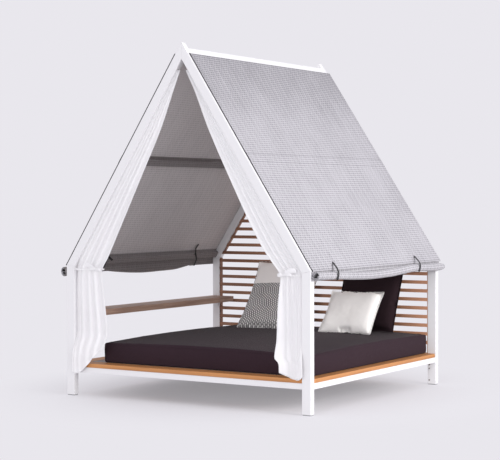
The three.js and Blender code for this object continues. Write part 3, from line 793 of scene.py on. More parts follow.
class Finishes:
    """Every finish of the daybed, made once."""

    def __init__(self) -> None:
        """Makes the materials."""
        teak, cloth = "deck_teak", "canopy_fabric"
        brown = (0.33, 0.13, 0.04)
        boards = {"pitch": 0.112, "across": 1, "offset": -0.8347}
        purlin_seams = (GABLE.purlin_down - 0.006, GABLE.purlin_down + GABLE.bar_width + 0.006)
        finishes = {
            "frame": PaintedMetal("frame_white", "frame_white"),
            "deck_x": Teak("deck_teak_x", teak, (0.60, 0.27, 0.09), brown, Grain.ALONG_X, **boards),
            "deck_y": Teak("deck_teak_y", teak, (0.58, 0.26, 0.09), brown, Grain.ALONG_Y, 0.40, 0, 0.2),
            "under": Teak(
                "deck_teak_grey", teak, (0.34, 0.30, 0.28), (0.18, 0.155, 0.145), Grain.ALONG_X, **boards
            ),
            "slats": Teak(
                "screen_teak",
                "screen_teak",
                (0.435, 0.215, 0.125),
                (0.20, 0.085, 0.048),
                Grain.ALONG_X,
                pitch=0.0645,
                across=2,
                offset=0.2813,
                # Paints light on the screen's right end and shade on its left end.
                drift=0.42,
            ),
            "shelf": Teak(
                "shelf_teak", "shelf_teak", (0.52, 0.34, 0.25), (0.28, 0.165, 0.12), Grain.ALONG_Y, 0.5, 0, -1.2
            ),
            "canopy": CheckCloth(
                "canopy_fabric",
                cloth,
                (0.487, 0.475, 0.506),
                (0.212, 0.206, 0.222),
                # Painted shade near the ridge.
                top_shade=0.35,
                seams=(*purlin_seams, 1.815),
            ),
            # The canopy's underside: a paler copy of the cloth, painted light that stands in for light shining
            # through it, palest near the ridge.
            "lining": CheckCloth(
                "canopy_lining", cloth, (0.76, 0.73, 0.725), (0.50, 0.476, 0.471), contrast=0.6, top_shade=-0.45
            ),
            # A darker copy of the cloth: painted shade, on the sleeves round the bars, the left flap and the left
            # roll's inner side.
            "pocket": CheckCloth(
                "canopy_pocket", cloth, (0.305, 0.283, 0.281), (0.195, 0.179, 0.178), contrast=0.7
            ),
            "roll": CheckCloth("roll_fabric", cloth, (0.49, 0.478, 0.506), (0.235, 0.229, 0.245), contrast=1.0),
            "voile": PlainCloth(
                "curtain_voile",
                "curtain_voile",
                (0.965, 0.96, 0.97),
                (0.90, 0.893, 0.91),
                thread=0.0008,
                slub_share=0.3,
                through=0.25,
                cover=0.955,
            ),
            "mattress": PlainCloth(
                "mattress_fabric",
                "mattress_fabric",
                (0.0345, 0.0190, 0.0262),
                (0.0195, 0.0104, 0.0145),
                thread=0.0012,
                slub_share=0.5,
                sheen=0.045,
                gloss=0.1,
            ),
            "ivory": PlainCloth("cushion_ivory", "cushion_ivory", (0.96, 0.935, 0.91), (0.87, 0.845, 0.815)),
            "greige": PlainCloth("cushion_greige", "cushion_pattern", (0.96, 0.92, 0.90), (0.88, 0.845, 0.82)),
            "dark": PlainCloth(
                "cushion_dark",
                "cushion_dark",
                (0.022, 0.012, 0.015),
                (0.011, 0.006, 0.008),
                slub_share=0.5,
                sheen=0.02,
                gloss=0.1,
            ),
            "pattern": ZigzagCloth("cushion_pattern", "cushion_pattern", (0.90, 0.875, 0.86), (0.125, 0.12, 0.123)),
            "strap": Webbing("strap_black", "strap_black"),
            "screw": Hardware("screw_metal", "screw_metal", (0.20, 0.17, 0.15), metallic=0.9, rough=0.3),
            "foot": Hardware("foot_grey", "foot_grey", (0.34, 0.34, 0.35), metallic=0.0, rough=0.5),
        }
        self.coats = {word: finish.coat() for word, finish in finishes.items()}

    def __getattr__(self, word: str) -> Coat:
        """One of the finishes, by its word."""
        return self.coats[word]


# Mesh helpers


class Maker:
    """Turns bmeshes into finished pieces in the row frame."""

    @staticmethod
    def piece(
        bm: bmesh.types.BMesh, name: str, coat: Coat, body: str = "", node: str = "", thickness: float = 0.0
    ) -> bpy.types.Object:
        """Makes an object of a bmesh.

        Args:
            bm: The mesh, which is freed.
            name: The piece's name.
            coat: Its finish.
            body: The body that it rides on, or none if that is said later.
            node: The CAD node that it stands for, or none.
            thickness: How thick a sheet becomes.

        Returns:
            The new object, smooth shaded.
        """
        mesh = bpy.data.meshes.new(name)
        for face in bm.faces:
            face.smooth = True
        bm.to_mesh(mesh)
        bm.free()
        mesh.materials.append(coat.material)
        obj = bpy.data.objects.new(name, mesh)
        bpy.context.scene.collection.objects.link(obj)
        if thickness:
            solidify = obj.modifiers.new("thickness", "SOLIDIFY")
            solidify.thickness = thickness
            solidify.offset = 0.0
            solidify.use_even_offset = False
        if node:
            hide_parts(node)
        if body:
            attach(obj, body)
        return obj

    @staticmethod
    def grid(columns: int, rows: int, place: Place, flat: Flat) -> bmesh.types.BMesh:
        """Makes a sheet from a grid.

        Args:
            columns: Its steps in u.
            rows: Its steps in v.
            place: Where a point of the sheet is, from u and v.
            flat: Where it is on the flat cloth, from u and v.

        Returns:
            The sheet with a UV map named cloth.
        """
        bm = bmesh.new()
        bmesh.ops.create_grid(bm, x_segments=columns, y_segments=rows, size=0.5)
        cloth = bm.loops.layers.uv.new("cloth")
        for face in bm.faces:
            for loop in face.loops:
                loop[cloth].uv = flat(loop.vert.co.x + 0.5, loop.vert.co.y + 0.5)
        for vert in bm.verts:
            vert.co = place(vert.co.x + 0.5, vert.co.y + 0.5)
        return bm

    @staticmethod
    def order(bm: bmesh.types.BMesh) -> None:
        """Sorts a mesh's edges and faces.

        An operator's own order changes from run to run, and a simulation's creases change with it.

        Args:
            bm: The mesh.
        """
        bm.verts.index_update()
        count = len(bm.verts)

        def rank(item: bmesh.types.BMEdge | bmesh.types.BMFace) -> int:
            """The place of an edge or face, from its vertices."""
            numbers = [vert.index for vert in item.verts]
            return min(numbers) * count + max(numbers)

        bm.edges.sort(key=rank)
        bm.faces.sort(key=rank)

    @staticmethod
    def softened(node: str, word: str, radius: float, coat: Coat) -> None:
        """Stands a copy with eased edges in a rigid CAD node's place.

        Args:
            node: The node.
            word: What the piece's name adds to the node's.
            radius: How wide its edges are eased.
            coat: Its finish.
        """
        bm = bmesh.new()
        bm.from_mesh(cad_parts[node].data)
        bmesh.ops.remove_doubles(bm, verts=bm.verts, dist=1e-5)
        bmesh.ops.dissolve_limit(
            bm, angle_limit=math.radians(1), verts=bm.verts, edges=bm.edges, use_dissolve_boundaries=False
        )
        sharp = [e for e in bm.edges if len(e.link_faces) == 2 and e.calc_face_angle(0.0) > math.radians(25)]
        bmesh.ops.bevel(
            bm,
            geom=sharp,
            offset=radius,
            offset_type="OFFSET",
            affect="EDGES",
            segments=2,
            profile=0.5,
            material=-1,
            clamp_overlap=True,
        )
        obj = Maker.piece(bm, f"{node}_{word}", coat, "daybed", node)
        obj.modifiers.new("even", "WEIGHTED_NORMAL").keep_sharp = True

    @staticmethod
    def dress(node: str, coat: Coat) -> None:
        """Gives a CAD node that is kept its finish."""
        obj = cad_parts[node]
        obj.data.materials.clear()
        obj.data.materials.append(coat.material)

    @staticmethod
    def ribbon(
        path: Sequence[Vector], side: Callable[[int], Vector], width: Callable[[float], float], columns: int = 4
    ) -> bmesh.types.BMesh:
        """Makes a flat ribbon along a path.

        Args:
            path: The middle line's points.
            side: The direction across the ribbon at each point.
            width: The ribbon's width at a share of its length.
            columns: Its steps across.

        Returns:
            The ribbon with a UV map named cloth.
        """
        lengths = lengths_along(path)
        last = len(path) - 1

        def place(u: float, v: float) -> Vector:
            """A point of the ribbon."""
            i = round(v * last)
            return path[i] + side(i) * (u - 0.5) * width(lengths[i] / lengths[-1])

        def flat(u: float, v: float) -> tuple[float, float]:
            """Its place on the flat ribbon."""
            i = round(v * last)
            return (u - 0.5) * width(lengths[i] / lengths[-1]), lengths[i]

        return Maker.grid(columns, last, place, flat)

    @staticmethod
    def front_map(bm: bmesh.types.BMesh) -> None:
        """Lays the cloth's UV map on a mesh as seen from the front."""
        cloth = bm.loops.layers.uv.new("cloth")
        for face in bm.faces:
            for loop in face.loops:
                loop[cloth].uv = (loop.vert.co.x, loop.vert.co.z)

    @staticmethod
    def tube(path: Sequence[Vector], radius: float, sides: int = 8, closed: bool = True) -> bmesh.types.BMesh:
        """Makes a round tube along a path, such as a piped seam.

        Args:
            path: The middle line's points.
            radius: The tube's radius.
            sides: How many sides it has.
            closed: Whether its end is joined to its start.

        Returns:
            The tube, closed at its ends, with a UV map named cloth.
        """
        bm = bmesh.new()
        rings = []
        count = len(path)
        for i, point in enumerate(path):
            before = path[i - 1] if closed or i else path[0]
            after = path[(i + 1) % count] if closed or i < count - 1 else path[-1]
            tangent = (after - before).normalized()
            lift = Vector((0, 0, 1)) if abs(tangent.z) < 0.9 else Vector((0, 1, 0))
            one = tangent.cross(lift).normalized()
            ring = bmesh.ops.create_circle(bm, segments=sides, radius=radius, cap_ends=False)["verts"]
            turn = Matrix((one, one.cross(tangent), tangent)).transposed()
            for vert in ring:
                vert.co = point + turn @ vert.co
            rings.append(ring)
        for a, b in zip(rings, rings[1:] + rings[:1] if closed else rings[1:]):
            for k in range(sides):
                bm.faces.new((a[k], a[(k + 1) % sides], b[(k + 1) % sides], b[k]))
        if not closed:
            bm.faces.new(rings[0][::-1])
            bm.faces.new(rings[-1])
        Maker.front_map(bm)
        bmesh.ops.recalc_face_normals(bm, faces=bm.faces)
        return bm

    @staticmethod
    def apply_modifiers(obj: bpy.types.Object) -> None:
        """Makes an object's modifiers part of its mesh."""
        graph = bpy.context.evaluated_depsgraph_get()
        solid = obj.evaluated_get(graph)
        done = bpy.data.meshes.new_from_object(solid, preserve_all_data_layers=True, depsgraph=graph)
        obj.modifiers.clear()
        obj.data = done
        for polygon in done.polygons:
            polygon.use_smooth = True


FINISHES = Finishes()


# The studio


@dataclass(frozen=True)
class Lamp:
    """One soft round lamp."""

    name: str
    place: Point
    aim: Point
    size: float
    watts: float
    colour: Colour

    def hang(self) -> None:
        """Hangs the lamp, facing its aim."""
        data = bpy.data.lights.new(self.name, "AREA")
        data.shape = "DISK"
        data.size = self.size
        data.energy = self.watts
        data.color = self.colour
        lamp = bpy.data.objects.new(self.name, data)
        lamp.location = self.place
        lamp.rotation_mode = "QUATERNION"
        lamp.rotation_quaternion = (Vector(self.aim) - Vector(self.place)).to_track_quat("-Z", "Y")
        bpy.context.scene.collection.objects.link(lamp)


@dataclass(frozen=True)
class Studio:
    """The floor, the light and the camera, whose angles are in degrees and lens in millimetres."""

    camera_place: Point = (5.6597, -9.0422, 1.3830)
    yaw: float = 32.324
    pitch: float = 1.162
    roll: float = -0.139
    lens: float = 105.25
    sensor: float = 36.0
    sight: float = 200.0
    floor_reach: float = 60.0
    air: Colour = (0.815, 0.80, 0.847)
    lamps: tuple[Lamp, ...] = (
        Lamp("side_lamp", (7.5, -1.2, 2.5), (0.4, 0, 0.8), 3.6, 430, (1.0, 0.995, 0.985)),
        Lamp("front_lamp", (6.0, -36.0, 7.2), (0, 0, 0.9), 12.0, 3500, (1.0, 1.0, 1.0)),
    )

    def camera(self) -> None:
        """Stands the camera where the photograph was taken from."""
        yaw, pitch, roll = (math.radians(a) for a in (self.yaw, self.pitch, self.roll))
        ahead = Vector((-math.sin(yaw) * math.cos(pitch), math.cos(yaw) * math.cos(pitch), -math.sin(pitch)))
        right = Vector((math.cos(yaw), math.sin(yaw), 0))
        up = right.cross(ahead)
        turned = right * math.cos(roll) + up * math.sin(roll)
        upward = up * math.cos(roll) - right * math.sin(roll)
        data = bpy.data.cameras.new("camera")
        data.lens = self.lens
        data.sensor_width = self.sensor
        data.clip_end = self.sight
        camera = bpy.data.objects.new("camera", data)
        basis = Matrix((turned, upward, -ahead)).transposed().to_4x4()
        camera.matrix_world = Matrix.Translation(self.camera_place) @ basis
        bpy.context.scene.collection.objects.link(camera)
        bpy.context.scene.camera = camera

    def floor(self) -> None:
        """Lays the floor, which fades into the studio's air."""
        bm = bmesh.new()
        bmesh.ops.create_grid(bm, x_segments=8, y_segments=8, size=self.floor_reach)
        Maker.piece(bm, "studio_floor", StudioFloor("studio_floor", "", self.air).coat())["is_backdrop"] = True

    def light(self) -> None:
        """Fills the studio with soft light, most of it from the right."""
        scene = bpy.context.scene
        world = bpy.data.worlds.new("studio_air")
        world.use_nodes = True
        world.node_tree.nodes["Background"].inputs["Color"].default_value = (*self.air, 1.0)
        scene.world = world
        for lamp in self.lamps:
            lamp.hang()
        scene.view_settings.view_transform = "Standard"
        scene.view_settings.look = "None"

    def build(self) -> None:
        """Sets the studio up."""
        self.camera()
        self.floor()
        self.light()


# The rigid parts


@dataclass(frozen=True)
class Structure:
    """The white frame with its bars, brackets, feet and screws."""

    edge: float = 0.0016
    eased_nodes: tuple[str, ...] = ("post_", "rafter_", "ridge_beam", "apron_")
    plain_nodes: tuple[str, ...] = ("purlin_", "eave_rail_", "bearer_", "shelf_bracket_")

    def build(self) -> None:
        """Dresses the frame's parts."""
        for name in sorted(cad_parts):
            if name.startswith("post_screw"):
                Maker.dress(name, FINISHES.screw)
            elif name.startswith(self.eased_nodes):
                Maker.softened(name, "coated", self.edge, FINISHES.frame)
            elif name.startswith(self.plain_nodes):
                Maker.dress(name, FINISHES.frame)
            elif name.startswith("foot_"):
                Maker.dress(name, FINISHES.foot)


@dataclass(frozen=True)
class Woodwork:
    """The teak: the deck's rim and panels, the slatted screens and the shelf."""

    rim_edge: float = 0.0022
    slat_edge: float = 0.0011
    shelf_edge: float = 0.0025

    def build(self) -> None:
        """Dresses the woodwork."""
        for end in ("front", "rear"):
            Maker.softened(f"deck_rim_{end}", "board", self.rim_edge, FINISHES.deck_x)
        for side in Side:
            Maker.softened(f"deck_rim_{side.word}", "board", self.rim_edge, FINISHES.deck_y)
        for index in (1, 2, 3):
            Maker.softened(f"deck_panel_{index}", "boards", self.slat_edge, FINISHES.under)
        for part in ("lower", "gable"):
            Maker.softened(f"rear_screen_{part}", "slats", self.slat_edge, FINISHES.slats)
        Maker.softened("shelf", "board", self.shelf_edge, FINISHES.shelf)


# The canopy


@dataclass(frozen=True)
class Canopy:
    """One panel of the canopy: a stretched cloth that sags a little between its supports."""

    side: Side
    front: float
    top: float = 0.092
    bottom: float = 1.8263
    rear: float = 0.992
    lift: float = 0.0018
    thickness: float = 0.0014
    sag: float = 0.012
    shoulder: float = 0.1092
    hem: float = 1.800
    columns: int = 150
    rows: int = 150
    sleeve_columns: int = 60
    sleeve_gap: float = 0.0012
    sleeve_thickness: float = 0.0008
    cord: float = 0.0034
    cord_steps: int = 120

    @property
    def spans(self) -> tuple[tuple[float, float], tuple[float, float]]:
        """Where the cloth is free, down the slope."""
        return (
            (self.shoulder, GABLE.purlin_down),
            (GABLE.purlin_down + GABLE.bar_width, GABLE.eave_bar_down),
        )

    def sink(self, down: float, y: float) -> float:
        """How far the cloth hangs below its supports.

        Args:
            down: The distance down from the apex.
            y: The place along the ridge.

        Returns:
            The sag with its puckers, square to the slope.
        """
        total = 0.0
        across = min(1.0, abs(y) / GABLE.inner_y)
        broad = ripple(y * 2.1, down * 6.5, self.side.value * 3.0)
        long = ripple(y * 8.0, down * 1.6, 4.0)
        fine = ripple(y * 21.0, down * 2.6, 9.0)
        for high, low in self.spans:
            if high < down < low:
                hang = math.sin(math.pi * (down - high) / (low - high))
                loose = (1 - across**10) * hang**0.6
                total += self.sag * hang * (1 - across**6)
                total += loose * (0.0024 * broad + 0.0020 * long + 0.0008 * fine)
        return total

    def fold(self, down: float) -> float:
        """How far the sewn pocket and the hem stand proud."""
        near = GABLE.purlin_down - 0.012
        far = GABLE.purlin_down + GABLE.bar_width + 0.006
        pocket = smooth((down - near) / 0.004) * (1 - smooth((down - far) / 0.003))
        return 0.0013 * pocket + 0.0009 * smooth((down - self.hem) / 0.004)

    def above(self, down: float, y: float) -> float:
        """How far the cloth is above the rafters' outer face."""
        return self.lift - self.sink(down, y) + self.fold(down)

    def flat(self, u: float, v: float) -> tuple[float, float]:
        """A point's place on the flat panel: along the ridge and down the slope."""
        return between(self.front, self.rear, u), between(self.top, self.bottom, v)

    def point(self, u: float, v: float) -> Vector:
        """A point of the panel."""
        y, down = self.flat(u, v)
        edge = 1 - smooth((self.rear - y) / 0.02)
        return GABLE.on_slope(self.side.value, down, y, self.above(down, y) - 0.0005 * edge)

    def panel(self) -> None:
        """Makes the panel, its underside in a paler copy of the cloth as painted light."""
        word = self.side.word
        bm = Maker.grid(self.columns, self.rows, self.point, self.flat)
        if self.side is Side.RIGHT:
            bmesh.ops.reverse_faces(bm, faces=bm.faces)
        obj = Maker.piece(bm, f"canopy_{word}_cloth", FINISHES.canopy, "daybed", f"canopy_{word}", self.thickness)
        # The sheet's inner side takes the paler copy of the cloth: painted light.
        obj.data.materials.append(FINISHES.lining.material)
        obj.modifiers["thickness"].material_offset = 1
        self.rear - self.front
        self.bottom - self.top

    def sleeve_outline(self, down: float) -> list[tuple[float, float]]:
        """Draws the section of a sleeve round one of the bars.

        Args:
            down: The bar's upper edge, down the slope.

        Returns:
            Its points: down the slope, and above the rafters' outer face.
        """
        gap, low = self.sleeve_gap, down + GABLE.bar_width
        deep = -GABLE.bar_thickness - gap
        marks = ((-0.014, -0.0006), (-0.004, -0.0008), (-gap, -0.003), (-gap, deep + 0.006))
        marks += ((-gap + 0.0012, deep + 0.0015), (0.006, deep))
        upper = [(down + step, height) for step, height in marks]
        lower = [(low - step, height) for step, height in reversed(marks)]
        return [*upper, ((down + low) / 2, deep - 0.0008), *lower]

    def sleeve(self, name: str, down: float) -> None:
        """Sews a sleeve round one of the bars.

        Args:
            name: The piece's name.
            down: The bar's upper edge, down the slope.
        """
        outline = self.sleeve_outline(down)
        lengths = lengths_along([Vector(mark) for mark in outline])
        last = len(outline) - 1
        reach = GABLE.inner_y - 0.002

        def place(u: float, v: float) -> Vector:
            """A point of the sleeve, its round part a little rippled."""
            k = round(v * last)
            s, n = outline[k]
            y = -reach + 2 * reach * u
            n += 0.0005 * ripple(y * 14, s * 30, 2.0) if 2 < k < last - 2 else 0.0
            return GABLE.on_slope(self.side.value, s, y, n)

        def flat(u: float, v: float) -> tuple[float, float]:
            """Its place on the flat cloth."""
            return -reach + 2 * reach * u, 5.0 + lengths[round(v * last)]

        bm = Maker.grid(self.sleeve_columns, last, place, flat)
        # The sleeve takes the darker copy of the cloth: painted shade.
        obj = Maker.piece(bm, name, FINISHES.pocket, "daybed", thickness=self.sleeve_thickness)

    def piping(self) -> None:
        """Binds the panel's front edge with a dark cord, which also serves as painted shade for the gap beside the
        rafter.
        """
        path = []
        for i in range(self.cord_steps + 1):
            down = between(self.top, self.bottom, i / self.cord_steps)
            above = self.above(down, self.front) + 0.0004
            path.append(GABLE.on_slope(self.side.value, down, self.front - 0.0012, above))
        bm = Maker.tube(path, self.cord, closed=False)
        Maker.piece(bm, f"canopy_{self.side.word}_piping", FINISHES.strap, "daybed")

    def build(self) -> None:
        """Makes the panel, its piping and its two sleeves."""
        self.panel()
        self.piping()
        self.sleeve(f"purlin_sleeve_{self.side.word}", GABLE.purlin_down)
        self.sleeve(f"eave_sleeve_{self.side.word}", GABLE.eave_bar_down)


@dataclass(frozen=True)
class RolledBlind:
    """A side blind rolled up at the eave, with the cloth that it hangs by and its two straps.

    Its places are shares from -1 to 1 along the roll. Its sags and swells are what curves give
    there, and a strap's ways say how far it strays along the roll at the panel, at the roll's
    face, under the roll, and by the eave bar's two edges.
    """

    side: Side
    height: float
    places: tuple[float, ...]
    sags: tuple[float, ...]
    swells: tuple[float, ...]
    strap_stations: tuple[int, int]
    strap_ways: tuple[tuple[float, ...], tuple[float, ...]]
    flap_finish: Coat
    tails: tuple[tuple[Point, ...], ...] = ()
    rear_pinch: float = 0.10
    width: float = 0.062
    middle_x: float = 1.0332
    base_z: float = 0.9
    sag: float = 0.036
    front: float = -0.95
    rear: float = 0.962
    turns: float = 2.4
    heart: float = 0.42
    thickness: float = 0.0030
    columns: int = 96
    steps: int = 150
    flap_top: float = 0.9252
    flap_x: float = 1.0010
    flap_thickness: float = 0.0010
    strap_width: float = 0.0155
    strap_thickness: float = 0.0015
    tail_steps: int = 18

    def along(self, share: float) -> float:
        """The place along the roll of a share from -1 to 1."""
        return (self.front + self.rear) / 2 + share * (self.rear - self.front) / 2

    def share_at(self, y: float) -> float:
        """The share from -1 to 1 of a place along the roll."""
        return (y - (self.front + self.rear) / 2) / ((self.rear - self.front) / 2)

    def middle_z(self, share: float) -> float:
        """The height of the roll's middle."""
        return self.base_z - self.sag * curve_through(self.places, self.sags, share)

    def reach_z(self, share: float) -> float:
        """Half the roll's height."""
        return curve_through(self.places, self.swells, share) * self.height / 2

    def wound(self, turn: float, scale: float, y: float) -> Vector:
        """A point of the winding.

        Args:
            turn: The angle round the roll from its inner side, in radians.
            scale: How far out it is, from 0 to 1.
            y: The place along the roll.

        Returns:
            The point in the row frame.
        """
        share = max(-1.0, min(1.0, self.share_at(y)))
        aside, rise = math.cos(math.pi + turn), math.sin(math.pi + turn)
        soft = 1 + 0.022 * ripple(y * 5, aside * 1.4, rise * 1.4 + self.side.value)
        soft += 0.010 * ripple(y * 19, aside * 2.2, rise * 2.2)
        reach_x = (self.width / 2 - self.thickness) * scale * min(soft, 1.0)
        reach_z = (self.reach_z(share) - self.thickness) * scale * min(soft, 1.012)
        x = self.middle_x + reach_x * aside
        return Vector((self.side.value * x, y, self.middle_z(share) + reach_z * rise))

    def roll(self) -> None:
        """Winds the roll."""
        full = self.turns * 2 * math.pi
        length = full * (self.width + self.height) / 4 * (1 + self.heart) / 2

        def place(u: float, v: float) -> Vector:
            """A point of the winding, its layers a little apart at the ends."""
            slip = 0.004 * math.sin(9 * v + self.side.value) + 0.009 * v * v
            front = self.front + max(0.0, 0.004 - slip * 0.8)
            rear = self.rear - 0.003 - 0.010 * (1 - smooth(v * 2.2)) + 0.003 * math.sin(23 * v)
            rear -= 0.004 * (0.5 + 0.5 * math.sin(v * full * 0.63 + 2.0))
            y = between(front, rear, u)
            scale = 1 - (1 - self.heart) * v**0.9
            return self.wound(v * full, scale * (1 - self.rear_pinch * smooth((y - self.rear + 0.05) / 0.05)), y)

        def flat(u: float, v: float) -> tuple[float, float]:
            """Its place on the flat cloth."""
            return between(self.front, self.rear, u), 9.0 + length * (1 - (1 - v) ** 1.5)

        word = self.side.word
        bm = Maker.grid(self.columns, self.steps, place, flat)
        name, node = f"blind_roll_{word}_wound", f"blind_roll_{word}"
        obj = Maker.piece(bm, name, FINISHES.roll, f"roll_{word}", node, self.thickness)
        self.shade_ends(obj)
        self.rear - self.front

    def shade_ends(self, obj: bpy.types.Object) -> None:
        """Paints shade on the roll: a painted shadow in its hollow heart, in the black webbing, and painted shade
        on the left one's inner side, in the darker copy of the cloth.

        Args:
            obj: The roll.
        """
        obj.data.materials.append(FINISHES.pocket.material)
        obj.data.materials.append(FINISHES.strap.material)
        verts = obj.data.vertices
        for polygon in obj.data.polygons:
            at = sum((verts[i].co for i in polygon.vertices), Vector()) / len(polygon.vertices)
            share = self.share_at(at.y)
            aside = (self.side.value * at.x - self.middle_x) / (self.width / 2)
            rise = (at.z - self.middle_z(share)) / self.reach_z(share)
            # Painted shade on the side of the left roll that faces in.
            inward = aside < 0.12 and self.side is Side.LEFT
            # The heart takes the black webbing: a painted shadow in the hollow.
            polygon.material_index = 2 if math.hypot(aside - 0.06, rise) < 0.5 else int(inward)

    def flap(self) -> None:
        """Hangs the cloth between the panel's edge and the roll."""
        word = self.side.word
        drop = self.flap_top - (self.base_z - self.sag)

        def place(u: float, v: float) -> Vector:
            """A point of the flap."""
            y = between(self.front, self.rear, u)
            return Vector((self.side.value * self.flap_x, y, self.flap_top - drop * v))

        def flat(u: float, v: float) -> tuple[float, float]:
            """Its place on the flat cloth."""
            return between(self.front, self.rear, u), 7.0 + drop * v

        bm = Maker.grid(60, 30, place, flat)
        name, node = f"blind_flap_{word}_cloth", f"blind_flap_{word}"
        obj = Maker.piece(bm, name, self.flap_finish, "", node, self.flap_thickness)
        self.rear - self.front
        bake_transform(obj)

    def strap_line(self, share: float, ways: Sequence[float]) -> list[Vector]:
        """The strap's middle line: from the panel over and under the roll to the eave bar.

        Args:
            share: Where the strap is along the roll.
            ways: How far it strays along the roll.

        Returns:
            The line's points.
        """
        stand = 0.0012 + self.strap_thickness / 2
        reach_x, reach_z = self.width / 2 + stand, self.reach_z(share) + stand
        middle_z = self.middle_z(share)
        start = GABLE.on_slope(1, GABLE.slope_length - 0.052, 0, 0.0033 + stand)
        face = Vector((self.middle_x + reach_x, 0, middle_z))
        pulls = (start, Vector((1.000, 0, 0.957)), Vector((face.x, 0, face.z + 0.045)), face)
        marks: list[Point] = []
        for i in range(24):
            t = i / 24
            shares = ((1 - t) ** 3, 3 * t * (1 - t) ** 2, 3 * t * t * (1 - t), t**3)
            point = sum((pull * part for pull, part in zip(pulls, shares)), Vector())
            marks.append((point.x, point.z, t))
        for i in range(20):
            angle = -math.pi / 2 * i / 19
            marks.append(
                (self.middle_x + math.cos(angle) * reach_x, middle_z + math.sin(angle) * reach_z, 1 + i / 19)
            )
        marks.append((0.997, min(middle_z - reach_z, self.base_z - self.sag - 0.003), 2.3))
        depth = -GABLE.bar_thickness - 0.0042
        for k in range(9):
            down = GABLE.slope_length - (GABLE.slope_length - GABLE.eave_bar_down) * k / 8
            at = GABLE.on_slope(1, down, 0, depth)
            marks.append((at.x, at.z, 3 + k / 8))
        stations = tuple(range(len(ways)))
        y = self.along(share)
        return [Vector((self.side.value * x, y + curve_through(stations, ways, q), z)) for x, z, q in marks]

    def tail_line(self, marks: Sequence[Point]) -> list[Vector]:
        """The middle line of a strap's loose end, which hangs by the eave bar.

        Args:
            marks: Points down the slope, along the roll and above the rafters' outer face.

        Returns:
            The line's points.
        """
        path = []
        stations = tuple(range(len(marks)))
        for i in range(self.tail_steps + 1):
            t = i / self.tail_steps * stations[-1]
            down, y, above = (curve_through(stations, values, t) for values in zip(*marks))
            path.append(GABLE.on_slope(self.side.value, down, y, above))
        return path

    def tape(self, name: str, path: Sequence[Vector], node: str = "") -> None:
        """Makes a length of strap.

        Args:
            name: The piece's name.
            path: Its middle line.
            node: The CAD node that it stands for, or none for a loose end.
        """

        def across(i: int) -> Vector:
            """The direction across the tape: along the roll, square to the line."""
            tangent = (path[min(i + 1, len(path) - 1)] - path[max(i - 1, 0)]).normalized()
            way = Vector((0, self.side.value, 0))
            return (way - tangent * way.dot(tangent)).normalized()

        bm = Maker.ribbon(path, across, lambda t: self.strap_width)
        obj = Maker.piece(bm, name, FINISHES.strap, "" if node else "daybed", node, self.strap_thickness)
        if node:
            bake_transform(obj)

    def build(self) -> None:
        """Makes the roll, the flap and the straps."""
        self.roll()
        self.flap()
        for end, station, ways in zip(("front", "rear"), self.strap_stations, self.strap_ways):
            node = f"roll_strap_{self.side.word}_{end}"
            self.tape(f"{node}_tape", self.strap_line(self.places[station], ways), node)
        for index, marks in enumerate(self.tails):
            self.tape(f"strap_tail_{self.side.word}_{index}", self.tail_line(marks))


# The curtains


